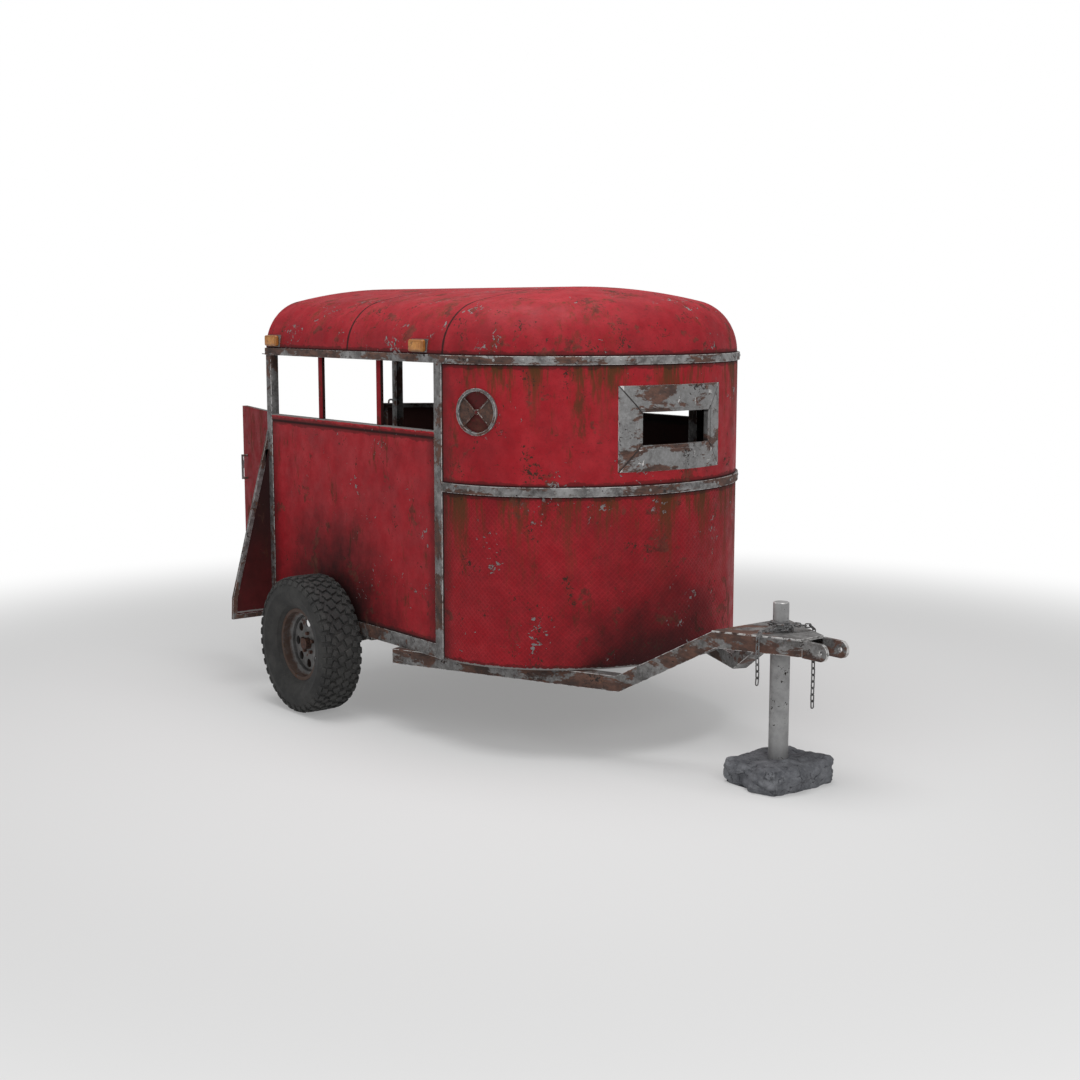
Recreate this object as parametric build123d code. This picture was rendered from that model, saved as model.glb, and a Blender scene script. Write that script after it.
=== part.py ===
from build123d import *
from math import asin, atan2, cos, hypot, pi, radians, sin, tan
import os

# Livestock trailer. Millimetres, +X forward, +Y left, +Z up, standing on z = 0.
# It is drawn with x = 0 at the rear plane of the body and moved at the end so
# that the origin is below the middle of the overall box.

# Body
body_width = 1837.0
side_length = 1853.0
nose_depth = 776.0
nose_lift = 4.0
frame_z = 472.4
rail_height = 75.0
rail_depth = 50.0
tube_wall = 4.0
sheet = 2.0
seat_gap = 0.3
sill_z = 1669.0
sill_height = 34.0
sill_depth = 40.0
eave_z = 2063.0
eave_height = 42.0
eave_depth = 40.0
eave_proud = 8.0
eave_tail = 38.0
band_z = 1362.0
band_height = 47.0
band_proud = 12.0
band_depth = 20.0
corner_post_width = 57.0
corner_post_depth = 50.0
post_proud = 2.0
rear_overhang = 7.0
centre_post_width = 50.0
trim_width = 68.0
trim_depth = 52.0
trim_proud = 6.0
bar_width = 45.0
bar_depth = 20.0
bar_x = (610.0, 1230.0)
floor_thickness = 25.0
plank_width = 140.0
plank_gap = 4.0
cross_member_width = 50.0
cross_member_count = 5

# Roof
roof_rise = 352.0
roof_inset = 3.5
roof_corner_radius = 280.0
roof_seam_x = 916.0
seam_gap = 2.0
bow_depth = 30.0
bow_width = 40.0
lamp_x = (90.0, 1645.0)
lamp_z = 2106.5
lamp_length = 134.0
lamp_height = 63.0
lamp_base_depth = 918.0
lamp_front = 946.0

# Rivets on the nose bands
rivet_radius = 7.0
rivet_height = 4.0
rivet_count = 17

# Front window frame
window_width = 690.0
window_low_z = 1480.0
window_high_z = 1915.0
window_slope_side = 95.0
window_slope_height = 113.0
window_edge_proud = 6.0
window_inner_proud = 22.0
window_lip_width = 25.0
window_lip_proud = 18.0
window_lip_inside = 12.0

# Round vent on the nose
vent_angle = 72.0
vent_z = 1781.0
vent_radius = 120.0
vent_ring_width = 15.0
vent_out = 6.0
vent_in = 23.0
vent_plate_seat = 20.0
vent_pin_radius = 4.0
vent_hub_radius = 13.0
vent_sector = 88.0
running_gap = 0.05

# Rear doors
hinge_axis_x = -17.0
hinge_inset = 52.5
door_edge_gap = 11.0
door_reach = 805.0
door_low_gap = 3.0
door_frame_depth = 30.0
door_sheet = 2.0
angle_leg = 30.0
angle_wall = 4.0
right_door_open = 76.0
left_door_open = 36.0
knuckle_radius = 9.0
hinge_pin_radius = 5.0
hinge_length = 90.0
hinge_heights = (700.0, 1110.0, 1520.0)
strap_length = 120.0
strap_thickness = 3.0
handle_place = 700.0
handle_low_z = 1200.0
handle_high_z = 1360.0
handle_radius = 7.0
handle_standoff = 35.0
tab_z = 1285.0
tab_height = 50.0
tab_length = 54.0
tab_thickness = 6.0
staple_radius = 3.0
staple_y = -18.0
cane_radius = 6.0
cane_inset = 65.0
cane_standoff = 14.0
cane_low_z = 555.0
cane_high_z = 1676.0
cane_hook_radius = 15.0
guide_heights = (700.0, 1500.0)
keeper_z = 515.0
keeper_thickness = 10.0

# Mud guards, their corners beyond the body side and above the ground
guard_top_z = 1554.0
guard_bend = (262.5, 567.0)
guard_bottom = (268.5, 440.0)
guard_edge = 25.0
guard_edge_wall = 4.0
guard_return = 15.0

# Wheels
wheel_x = 710.0
wheel_outset = 146.5
tyre_radius = 393.7
tyre_width = 250.0
tyre_wall = 12.0
bead_radius = 193.0
bead_half_width = 66.0
shoulder_radius = 371.0
rim_radius = 207.0
rim_half_width = 72.0
rim_wall = 5.0
disc_offset = 5.0
disc_thickness = 6.0
rim_hole_radius = 25.0
rim_hole_circle = 118.5
rim_hole_count = 8
hub_radius = 42.0
hub_flange_radius = 78.0
hub_flange = 12.0
hub_length = 110.0
nut_circle = 57.15
nut_count = 5
nut_radius = 11.0
nut_height = 16.0
spindle_radius = 22.0
spindle_root_radius = 29.0

# Rubber torsion axle
axle_x = 847.0
axle_tube = 76.0
axle_wall = 6.0
axle_inset = 158.5
bush_length = 30.0
torsion_radius = 22.0
torsion_length = 330.0
cord_radius = 5.5
arm_thickness = 25.0
arm_gap = 4.0
arm_boss_radius = 36.0
arm_tip_radius = 33.0

# Drawbar, its places ahead of the nose tip
draw_tube = 80.0
draw_wall = 5.0
draw_line_ahead = 871.0
draw_line_y = 119.3
draw_rear_behind = 404.0
draw_rear_proud = 63.2455
draw_bend_ahead = 86.0
draw_rise = 279.0
draw_angle = 28.4
draw_front_ahead = 971.0
plate_thickness = 6.0
plate_rear_ahead = 543.0
plate_front_ahead = 959.0
ear_middle_y = 70.0
ear_thickness = 18.0
ear_height = 84.0
ear_hole_ahead = 1081.0
ear_hole_radius = 12.5

# Prop, stone and safety chain
prop_ahead = 756.0
prop_radius = 48.5
spigot_radius = 39.0
spigot_high_z = 900.0
prop_foot_z = 40.0
spigot_clearance = 1.5
stone_height = 140.0
link_wire = 6.5
link_width = 24.0
link_pitch = 33.0
link_gap = 0.4

half_width = body_width / 2
wheel_y = half_width + wheel_outset
axle_half_length = half_width - axle_inset
nose_tip_x = side_length + nose_depth
draw_line_x = nose_tip_x + draw_line_ahead
draw_rear_x = side_length - draw_rear_behind
draw_slope = (half_width + draw_rear_proud - draw_line_y) / (draw_line_x - draw_rear_x)
draw_bend_x = nose_tip_x + draw_bend_ahead
draw_front_x = nose_tip_x + draw_front_ahead
plate_rear_x = nose_tip_x + plate_rear_ahead
plate_front_x = nose_tip_x + plate_front_ahead
ear_hole_x = nose_tip_x + ear_hole_ahead
prop_x = nose_tip_x + prop_ahead
rail_top = frame_z + rail_height
rail_inner_y = half_width - rail_depth
panel_front_x = side_length - trim_width
post_front_x = corner_post_width - rear_overhang
hinge_y = half_width - hinge_inset
eave_low = eave_z - eave_height
arch_half = half_width - roof_inset
crown_radius = ((arch_half - roof_corner_radius) ** 2 + roof_rise ** 2 - roof_corner_radius ** 2) / (
    2 * (roof_rise - roof_corner_radius))


def block(x, y, z):
    """Box between two corners, each side given as a (low, high) pair."""
    size = [side[1] - side[0] for side in (x, y, z)]
    middle = [(side[0] + side[1]) / 2 for side in (x, y, z)]
    return Pos(*middle) * Box(*size)


def tube(x, y, z, wall, axis):
    """Rectangular hollow section, open at both ends along the named axis."""
    inner = {"x": x, "y": y, "z": z}
    for name, side in inner.items():
        inner[name] = side if name == axis else (side[0] + wall, side[1] - wall)
    return block(x, y, z) - block(inner["x"], inner["y"], inner["z"])


def cylinder_y(x, z, y, radius):
    """Round bar along Y between the two y values."""
    return Pos(x, (y[0] + y[1]) / 2, z) * Rot(90, 0, 0) * Cylinder(radius, abs(y[1] - y[0]))


def cylinder_z(x, y, z, radius):
    """Round bar along Z between the two z values."""
    return Pos(x, y, (z[0] + z[1]) / 2) * Cylinder(radius, z[1] - z[0])


def other_side(solids):
    """The same solids on the other side of the trailer's middle plane."""
    return [mirror(solid, about=Plane.XZ) for solid in solids]


def both_sides(solids):
    """The solids together with their copies on the other side."""
    return solids + other_side(solids)


# ---------------------------------------------------------------- nose

def nose_prism(offset, low, high):
    """Half of an elliptic prism ahead of the straight sides."""
    outline = Pos(side_length, 0, low) * Ellipse(nose_depth + offset, half_width + offset)
    reach = half_width + nose_depth
    ahead = block((side_length, side_length + reach), (-reach, reach), (low - 1, high + 1))
    return extrude(outline, high - low, dir=(0, 0, 1)) & ahead


def nose_ring(outside, inside, low, high):
    """Curved wall between two offsets of the nose ellipse."""
    return nose_prism(outside, low, high) - nose_prism(inside, low - 1, high + 1)


def nose_channel(outside, inside, low, high, wall):
    """Curved channel section, its back outwards and its open side inwards."""
    cavity = nose_ring(outside - wall, inside - 1, low + wall, high - wall)
    return nose_ring(outside, inside, low, high) - cavity


def nose_place(angle, offset=0.0):
    """Point and outward direction on the nose at an angle from straight ahead."""
    x = side_length + nose_depth * cos(angle)
    y = half_width * sin(angle)
    normal = Vector(cos(angle) / nose_depth, sin(angle) / half_width, 0).normalized()
    return Vector(x, y, 0) + normal * offset, normal


def vent_plane(side):
    """Plane of a round vent, its Z axis pointing outwards."""
    point, normal = nose_place(side * radians(vent_angle))
    return Plane(origin=(point.X, point.Y, vent_z), x_dir=(-normal.Y, normal.X, 0), z_dir=normal)


def vent_disc(side, radius, low, high):
    """Disc on a vent's axis between two heights above the nose skin."""
    disc = Pos(0, 0, (low + high) / 2) * Cylinder(radius, high - low)
    return vent_plane(side) * disc


window_half = window_width / 2
window_inner_half = window_half - window_slope_side
window_inner_low = window_low_z + window_slope_height
window_inner_high = window_high_z - window_slope_height - 1.0
opening_half = window_inner_half - window_lip_width
opening_low = window_inner_low + window_lip_width - 5.0
opening_high = window_inner_high - window_lip_width + 5.0


def window_prism(half, low, high):
    """Straight passage along X through the nose."""
    return block((side_length + nose_depth / 2, side_length + nose_depth + 100), (-half, half), (low, high))


def build_nose():
    """Skins, bands, floor rim and floor of the rounded nose."""
    rim_offset = -sheet - seat_gap
    lower = nose_ring(0, -sheet, frame_z + nose_lift, band_z)
    upper = nose_ring(0, -sheet, band_z + band_height, eave_low)
    upper -= window_prism(window_inner_half + seat_gap, window_inner_low - seat_gap,
                          window_inner_high + seat_gap)
    for side in (-1, 1):
        upper -= vent_disc(side, vent_radius + seat_gap, -80, 80)
    rim = nose_channel(rim_offset, rim_offset - rail_depth, frame_z + nose_lift, rail_top, tube_wall)
    return {
        "nose_lower_panel": [lower],
        "nose_upper_panel": [upper],
        "nose_mid_band": [nose_channel(band_proud, -band_depth, band_z, band_z + band_height,
                                       tube_wall)],
        "nose_eave_band": [nose_channel(band_proud, -eave_depth, eave_low, eave_z, tube_wall)],
        "nose_floor_rim": [rim],
    }


def build_rivets():
    """Domed rivet heads along the two nose bands."""
    heads = []
    for low, height in ((band_z, band_height), (eave_low, eave_height)):
        for index in range(rivet_count):
            angle = radians(-86 + 172 * index / (rivet_count - 1))
            point, normal = nose_place(angle, band_proud)
            place = Plane(origin=(point.X, point.Y, low + height / 2), z_dir=normal)
            head = Pos(0, 0, rivet_height / 2) * Cylinder(rivet_radius, rivet_height)
            head = chamfer(head.edges().sort_by(Axis.Z)[-1], rivet_height / 2)
            heads.append(place * head)
    return {"band_rivets": heads}


def build_window():
    """Four mitred sloping strips and the flat lip of the front window."""
    inside = nose_prism(seat_gap, window_low_z - 10, window_high_z + 10)
    strips = []
    for outer_z, inner_z in ((window_low_z, window_inner_low), (window_high_z, window_inner_high)):
        outer = Pos(side_length, 0, outer_z) * Ellipse(nose_depth + window_edge_proud,
                                                       half_width + window_edge_proud)
        inner = Pos(side_length, 0, inner_z) * Ellipse(nose_depth + window_inner_proud,
                                                       half_width + window_inner_proud)
        wedge = loft([outer, inner])
        mitre = Plane.YZ * make_face(Polyline(
            (-window_half, outer_z), (window_half, outer_z),
            (window_inner_half, inner_z), (-window_inner_half, inner_z), close=True))
        strip = wedge & extrude(mitre, side_length + nose_depth + 100, dir=(1, 0, 0))
        strips.append((strip & window_prism(window_half, window_low_z, window_high_z)) - inside)
    for side in (-1, 1):
        edge, _ = nose_place(side * asin(window_half / half_width), window_edge_proud)
        inner, _ = nose_place(side * asin(window_inner_half / half_width), window_inner_proud)
        deep = side_length + nose_depth / 2
        outline = make_face(Polyline((deep, side * window_half), (edge.X, side * window_half),
                                     (inner.X, side * window_inner_half),
                                     (deep, side * window_inner_half), close=True))
        wedge = extrude(Pos(0, 0, window_low_z) * outline, window_high_z - window_low_z, dir=(0, 0, 1))
        mitre = Plane.YZ * make_face(Polyline(
            (side * window_half, window_low_z), (side * window_half, window_high_z),
            (side * window_inner_half, window_inner_high),
            (side * window_inner_half, window_inner_low), close=True))
        strip = wedge & extrude(mitre, side_length + nose_depth + 100, dir=(1, 0, 0))
        strips.append(strip - inside)
    lip = nose_ring(window_lip_proud, -window_lip_inside, window_inner_low, window_inner_high)
    lip &= window_prism(window_inner_half, window_inner_low, window_inner_high)
    lip -= window_prism(opening_half, opening_low, opening_high)
    return {"front_window_frame": strips + [lip]}


def vent_sector_prism(side, middle, width, radius, low, high):
    """Wedge of a vent disc about its axis, its middle at an angle from level."""
    corner = radius / cos(radians(width / 2))
    angles = (radians(middle - width / 2), radians(middle), radians(middle + width / 2))
    points = [(0, 0), (corner * cos(angles[0]), corner * sin(angles[0])),
              (2 * corner * cos(angles[1]), 2 * corner * sin(angles[1])),
              (corner * cos(angles[2]), corner * sin(angles[2]))]
    wedge = extrude(Pos(0, 0, low) * make_face(Polyline(*points, close=True)), high - low, dir=(0, 0, 1))
    disc = Pos(0, 0, (low + high) / 2) * Cylinder(radius, high - low)
    return vent_plane(side) * (wedge & disc)


def build_vents():
    """Butterfly vents: ring, slotted fixed plate with its pin, and turning shutter."""
    nodes = {"vent_rings": [], "vent_plates": []}
    bore = vent_radius - vent_ring_width
    plate_top = sheet - vent_plate_seat
    shutter_low = -5.0
    shutter_high = shutter_low + sheet
    for side, name in ((-1, "right"), (1, "left")):
        ring = vent_disc(side, vent_radius, -vent_in, vent_out)
        ring -= vent_disc(side, bore, -vent_plate_seat, vent_out + 1)
        ring -= vent_disc(side, bore - 8, -vent_in - 1, 0)
        plate = vent_disc(side, bore - seat_gap, -vent_plate_seat, plate_top)
        for middle in (0, 180):
            slot = vent_sector_prism(side, middle, vent_sector - 16, bore - 12,
                                     -vent_plate_seat - 1, plate_top + 1)
            plate -= slot - vent_disc(side, 2 * vent_hub_radius, -30, 0)
        pin = vent_disc(side, vent_pin_radius, plate_top, 4)
        pin += vent_disc(side, 2 * vent_pin_radius, shutter_high + 2 + seat_gap, 5)
        shutter = vent_disc(side, vent_hub_radius, plate_top + seat_gap, shutter_high + 2)
        for middle in (0, 180):
            shutter += vent_sector_prism(side, middle, vent_sector, bore - 2, shutter_low, shutter_high)
            for edge in (middle - vent_sector / 2, middle + vent_sector / 2):
                rib = block((0, bore - 3), (-2.5, 2.5), (shutter_low, shutter_high + 4))
                inset = 2.5 if edge < middle else -2.5
                turned = Rot(0, 0, edge) * (Pos(0, inset, 0) * rib)
                shutter += vent_plane(side) * turned
        shutter -= vent_disc(side, vent_pin_radius + running_gap, -40, 40)
        shutter -= vent_disc(side, 2 * vent_pin_radius + seat_gap, shutter_high + 2, 40)
        nodes["vent_rings"].append(ring)
        nodes["vent_plates"] += [plate, pin]
        nodes[f"vent_shutter_{name}"] = [shutter]
    return nodes


# ---------------------------------------------------------------- body

def build_frame():
    """Floor frame, posts, rails and floor of the straight part of the body."""
    rail_x = (post_front_x, panel_front_x)
    right_y = (-half_width, -rail_inner_y)
    post_y = (-half_width - post_proud, -half_width + corner_post_depth)
    side_rail = tube(rail_x, right_y, (frame_z, rail_top), tube_wall, "x")
    corner_post = tube((-rear_overhang, post_front_x), post_y, (frame_z, eave_low), tube_wall, "z")
    trim_y = (-half_width - trim_proud, -half_width - trim_proud + trim_depth)
    trim = tube((panel_front_x, side_length), trim_y, (frame_z, eave_low), tube_wall, "z")
    sill = tube((-rear_overhang, post_front_x), (-rail_inner_y, rail_inner_y), (frame_z, rail_top),
                tube_wall, "y")
    centre_post = tube((-rear_overhang, centre_post_width - rear_overhang),
                       (-centre_post_width / 2, centre_post_width / 2), (rail_top, eave_low),
                       tube_wall, "z")
    member_z = (frame_z, rail_top - floor_thickness)
    pitch = (panel_front_x - post_front_x) / (cross_member_count + 1)
    members = []
    for index in range(cross_member_count):
        middle = post_front_x + pitch * (index + 1)
        if abs(middle - axle_x) < pitch / 2:
            middle = axle_x
        members.append(tube((middle - cross_member_width / 2, middle + cross_member_width / 2),
                            (-rail_inner_y, rail_inner_y), member_z, tube_wall, "y"))
    front_beam_y = half_width + trim_proud - trim_depth
    members.append(tube((panel_front_x, side_length), (-front_beam_y, front_beam_y),
                        (frame_z, rail_top), tube_wall, "y"))
    nose_bar_x = side_length + 0.4 * nose_depth
    rim_inside = -sheet - 2 * seat_gap - rail_depth
    nose_bar = tube((nose_bar_x, nose_bar_x + cross_member_width), (-half_width, half_width),
                    member_z, tube_wall, "y")
    members.append(nose_bar & nose_prism(rim_inside, frame_z - 1, rail_top))
    nose_board = nose_prism(rim_inside, rail_top - floor_thickness, rail_top)
    plank_count = int((2 * rail_inner_y + plank_gap) // (plank_width + plank_gap))
    used = plank_count * plank_width + (plank_count - 1) * plank_gap
    planks = []
    for index in range(plank_count):
        low = -used / 2 + index * (plank_width + plank_gap)
        planks.append(block((post_front_x + 1, panel_front_x - 1), (low, low + plank_width),
                            (rail_top - floor_thickness, rail_top)))
    header_y = half_width - eave_depth
    header = tube((-rear_overhang, centre_post_width - rear_overhang), (-header_y, header_y),
                  (eave_low, eave_z), tube_wall, "y")
    return {
        "side_rails": both_sides([side_rail]),
        "rear_posts": both_sides([corner_post]) + [centre_post],
        "front_trims": both_sides([trim]),
        "rear_cross_rails": [sill, header],
        "cross_members": members,
        "floor_planks": planks + [nose_board],
    }


def build_sides():
    """Side panels, sill caps, window bars and eave rails."""
    panel_x = (post_front_x, panel_front_x)
    skin_y = (-half_width, -half_width + sheet)
    cap_low = sill_z - sill_height
    panel = block(panel_x, skin_y, (rail_top, cap_low))
    cap = tube(panel_x, (-half_width - sheet, -half_width + sill_depth), (cap_low, sill_z), sheet, "x")
    bars = []
    for middle in bar_x:
        bars.append(block((middle - bar_width / 2, middle + bar_width / 2),
                          (-half_width + bar_depth / 2, -half_width + 1.5 * bar_depth),
                          (sill_z, eave_low)))
    rail_y = (-half_width - eave_proud, -half_width + eave_depth)
    rail = tube((-rear_overhang, side_length), rail_y, (eave_low, eave_z), tube_wall, "x")
    rail += block((-rear_overhang - eave_tail, -rear_overhang), (rail_y[0], rail_y[1] - 8),
                  (eave_low + 3, eave_low + 7))
    return {
        "side_panels": both_sides([panel]),
        "sill_caps": both_sides([cap]),
        "window_bars": both_sides(bars),
        "eave_rails": both_sides([rail]),
    }


# ---------------------------------------------------------------- roof

def arch_points(drop, side):
    """Spring point, side arc middle and tangent point of the arch, moved inwards by drop."""
    centre_y = arch_half - roof_corner_radius
    centre_z = roof_rise - crown_radius
    turn = atan2(-centre_z, centre_y)
    small = roof_corner_radius - drop
    spring = (side * (centre_y + small), 0)
    middle = (side * (centre_y + small * cos(turn / 2)), small * sin(turn / 2))
    tangent = (side * (centre_y + small * cos(turn)), small * sin(turn))
    return spring, middle, tangent


def arch_face(drop):
    """Closed arch outline on the plane x = 0, moved inwards by drop."""
    right, left = arch_points(drop, -1), arch_points(drop, 1)
    crown = (0, roof_rise - drop)
    edges = [ThreePointArc(*right), ThreePointArc(right[2], crown, left[2]),
             ThreePointArc(*reversed(left)), Line(left[0], right[0])]
    return Plane.YZ * (Pos(0, eave_z) * make_face(edges))


def arch_bow(low, high, drop, depth, wall):
    """Hollow arch rib between two x values."""
    cavity = arch_shell(low + wall, high - wall, drop + wall, depth - 2 * wall)
    return arch_shell(low, high, drop, depth) - cavity


def arch_shell(low, high, drop, depth):
    """Arch wall of the given depth between two x values."""
    outer = extrude(arch_face(drop), high - low, dir=(1, 0, 0))
    inner = extrude(arch_face(drop + depth), high - low, dir=(1, 0, 0))
    return Pos(low, 0, 0) * (outer - inner)


def dome_solid(drop):
    """Solid below the nose dome, moved inwards by drop."""
    spring, middle, tangent = arch_points(drop, -1)
    crown = (0, roof_rise - drop)
    crown_middle_turn = atan2(abs(tangent[0]), tangent[1] - roof_rise + crown_radius) / 2
    crown_middle = (-(crown_radius - drop) * sin(crown_middle_turn),
                    roof_rise - crown_radius + (crown_radius - drop) * cos(crown_middle_turn))
    edges = [ThreePointArc(spring, middle, tangent), ThreePointArc(tangent, crown_middle, crown),
             Line(crown, (0, 0)), Line((0, 0), spring)]
    half = Plane.YZ * make_face(edges)
    solid = revolve(half, Axis.Z, 180)
    stretched = scale(solid, (nose_depth / half_width, 1, 1))
    return Pos(side_length, 0, eave_z) * stretched


def build_roof():
    """Roof sheets, dome, bows under the seams and the rear gable."""
    half_seam = seam_gap / 2
    rear = arch_shell(-rear_overhang, roof_seam_x - half_seam, 0, sheet)
    middle = arch_shell(roof_seam_x + half_seam, side_length - half_seam, 0, sheet)
    reach = half_width + nose_depth
    ahead = block((side_length + half_seam, side_length + reach), (-reach, reach), (eave_z, eave_z + reach))
    dome = (dome_solid(0) - dome_solid(sheet)) & ahead
    bow_drop = sheet + seat_gap
    bows = []
    for centre in (roof_seam_x / 2, roof_seam_x, (roof_seam_x + side_length) / 2,
                   side_length - bow_width / 2):
        bows.append(arch_bow(centre - bow_width / 2, centre + bow_width / 2, bow_drop, bow_depth,
                             tube_wall))
    hoop = arch_bow(0, bow_width, bow_drop, bow_depth, tube_wall)
    gable = Pos(-sheet, 0, 0) * extrude(arch_face(bow_drop), sheet, dir=(1, 0, 0))
    return {
        "roof_sheets": [rear, middle],
        "roof_dome": [dome],
        "roof_bows": bows + [hoop],
        "rear_gable": [gable],
    }


def build_lamps():
    """Marker lamp bases and amber lenses on the roof edge."""
    outside = extrude(arch_face(-seat_gap), side_length, dir=(1, 0, 0))
    bases, lenses = [], []
    for middle in lamp_x:
        x = (middle - lamp_length / 2, middle + lamp_length / 2)
        z = (lamp_z - lamp_height / 2, lamp_z + lamp_height / 2)
        low = (x[0] - 3, x[1] + 3)
        bases.append(block(low, (-lamp_base_depth, -lamp_base_depth + 30), (z[0] - 3, z[1] + 3)) - outside)
        lens = block(x, (-lamp_front, -lamp_base_depth), z)
        front = lens.edges().filter_by(lambda edge: edge.center().Y < -lamp_base_depth - 2)
        lenses.append(fillet(front, 11))
    return {
        "lamp_bases": both_sides(bases),
        "lamp_lenses": both_sides(lenses),
    }


# ---------------------------------------------------------------- rear doors

door_low = rail_top + door_low_gap
door_outer_x = hinge_axis_x
sheet_inner_x = door_outer_x + door_sheet
door_y = (-hinge_y + door_edge_gap, -hinge_y + door_reach)


def ring_block(x, y, z, width):
    """Rectangular ring in the YZ plane with the given bar width."""
    hole = block((x[0] - 1, x[1] + 1), (y[0] + width, y[1] - width), (z[0] + width, z[1] - width))
    return block(x, y, z) - hole


def swing(solids, angle):
    """Turn closed right-hand door pieces about the right hinge axis."""
    place = Pos(hinge_axis_x, -hinge_y, 0)
    return [place * Rot(0, 0, angle) * place.inverse() * solid for solid in solids]


def knuckle(z, radius=knuckle_radius):
    """Round barrel on the right hinge axis."""
    return cylinder_z(hinge_axis_x, -hinge_y, z, radius)


def door_leaf():
    """Folded sheet and angle frame of one closed right-hand door."""
    z = (door_low, sill_z)
    skin = block((door_outer_x, sheet_inner_x), door_y, z)
    frame_x = (sheet_inner_x, sheet_inner_x + door_frame_depth)
    frame = ring_block(frame_x, door_y, z, angle_wall)
    frame += ring_block((sheet_inner_x, sheet_inner_x + angle_wall), door_y, z, angle_leg)
    middle_z = (z[0] + z[1]) / 2
    frame += block((sheet_inner_x, sheet_inner_x + angle_leg), (door_y[0] + 1, door_y[1] - 1),
                   (middle_z - angle_wall / 2, middle_z + angle_wall / 2))
    return skin, frame


def hinge_sets():
    """Door straps, post leaves and pins of one closed right-hand door."""
    straps, leaves, pins = [], [], []
    third = hinge_length / 3
    for height in hinge_heights:
        low, high = height - hinge_length / 2, height + hinge_length / 2
        middle = (low + third + seat_gap, high - third - seat_gap)
        strap = block((door_outer_x - strap_thickness, door_outer_x),
                      (-hinge_y, -hinge_y + strap_length), middle)
        strap = (strap + knuckle(middle)) - knuckle(middle, hinge_pin_radius + running_gap)
        straps.append(strap)
        for z in ((low, low + third), (high - third, high)):
            leaf = block((-rear_overhang - strap_thickness, -rear_overhang),
                         (-hinge_y - 38, -hinge_y + 2), z)
            bridge = block((hinge_axis_x, -rear_overhang), (-hinge_y - knuckle_radius, -hinge_y), z)
            leaves.append((leaf + bridge + knuckle(z)) - knuckle(z, hinge_pin_radius))
        pins.append(knuckle((low, high), hinge_pin_radius))
    return straps, leaves, pins


def build_doors():
    """Both rear doors with their hinges, latch, handle and cane bolt."""
    skin, frame = door_leaf()
    straps, leaves, pins = hinge_sets()
    free_y = door_y[1]
    tab = block((door_outer_x, door_outer_x + tab_thickness), (free_y, free_y + tab_length),
                (tab_z - tab_height / 2, tab_z + tab_height / 2))
    tab -= block((door_outer_x - 1, door_outer_x + tab_thickness + 1),
                 (staple_y - 2 * staple_radius, staple_y + 2 * staple_radius), (tab_z - 18, tab_z + 18))
    handle_y = -hinge_y + handle_place
    grip_x = door_outer_x - handle_standoff
    grip = cylinder_z(grip_x, handle_y, (handle_low_z, handle_high_z), handle_radius)
    for z in (handle_low_z + handle_radius, handle_high_z - handle_radius):
        foot = Pos((grip_x + door_outer_x) / 2, handle_y, z) * Rot(0, 90, 0)
        grip += foot * Cylinder(handle_radius, handle_standoff)
    staple_x = -rear_overhang - 34
    staple = block((staple_x, -rear_overhang), (staple_y - staple_radius, staple_y + staple_radius),
                   (tab_z - 14, tab_z + 14))
    staple -= block((staple_x + 2 * staple_radius, -rear_overhang),
                    (staple_y - staple_radius - 1, staple_y + staple_radius + 1), (tab_z - 7, tab_z + 7))

    cane_x, cane_y = door_outer_x - cane_standoff, -hinge_y + door_reach - cane_inset
    rod = cylinder_z(cane_x, cane_y, (cane_low_z, cane_high_z), cane_radius)
    ring = Pos(cane_x, cane_y + cane_hook_radius, cane_high_z) * Rot(0, 90, 0) * Torus(
        cane_hook_radius, cane_radius)
    above = block((cane_x - 20, cane_x + 20), (cane_y - 20, cane_y + 60), (cane_high_z, cane_high_z + 60))
    rod += ring & above
    rod += cylinder_z(cane_x, cane_y + 2 * cane_hook_radius, (cane_high_z - 18, cane_high_z), cane_radius)
    guides = []
    for height in guide_heights:
        guide = block((cane_x - 2 * cane_radius, door_outer_x), (cane_y - 14, cane_y + 14),
                      (height - 12, height + 12))
        guides.append(guide - cylinder_z(cane_x, cane_y, (height - 20, height + 20),
                                         cane_radius + running_gap))
    keeper = block((cane_x - 3 * cane_radius, -rear_overhang), (cane_y - 20, cane_y + 20),
                   (keeper_z, keeper_z + keeper_thickness))
    keeper -= cylinder_z(cane_x, cane_y, (keeper_z - 1, keeper_z + keeper_thickness + 1), cane_radius + 3)

    def left(solids):
        return other_side(swing(solids, left_door_open))

    return {
        "door_skin_right": swing([skin], right_door_open),
        "door_frame_right": swing([frame], right_door_open),
        "door_straps_right": swing(straps, right_door_open),
        "latch_tab": swing([tab], right_door_open),
        "door_handle": swing([grip], right_door_open),
        "door_skin_left": left([skin]),
        "door_frame_left": left([frame]),
        "door_straps_left": left(straps),
        "cane_bolt": left([rod]),
        "cane_bolt_guides": left(guides),
        "latch_keepers": [staple] + other_side([keeper]),
        "hinge_leaves": both_sides(leaves + pins),
    }


# ---------------------------------------------------------------- mud guards

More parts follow.
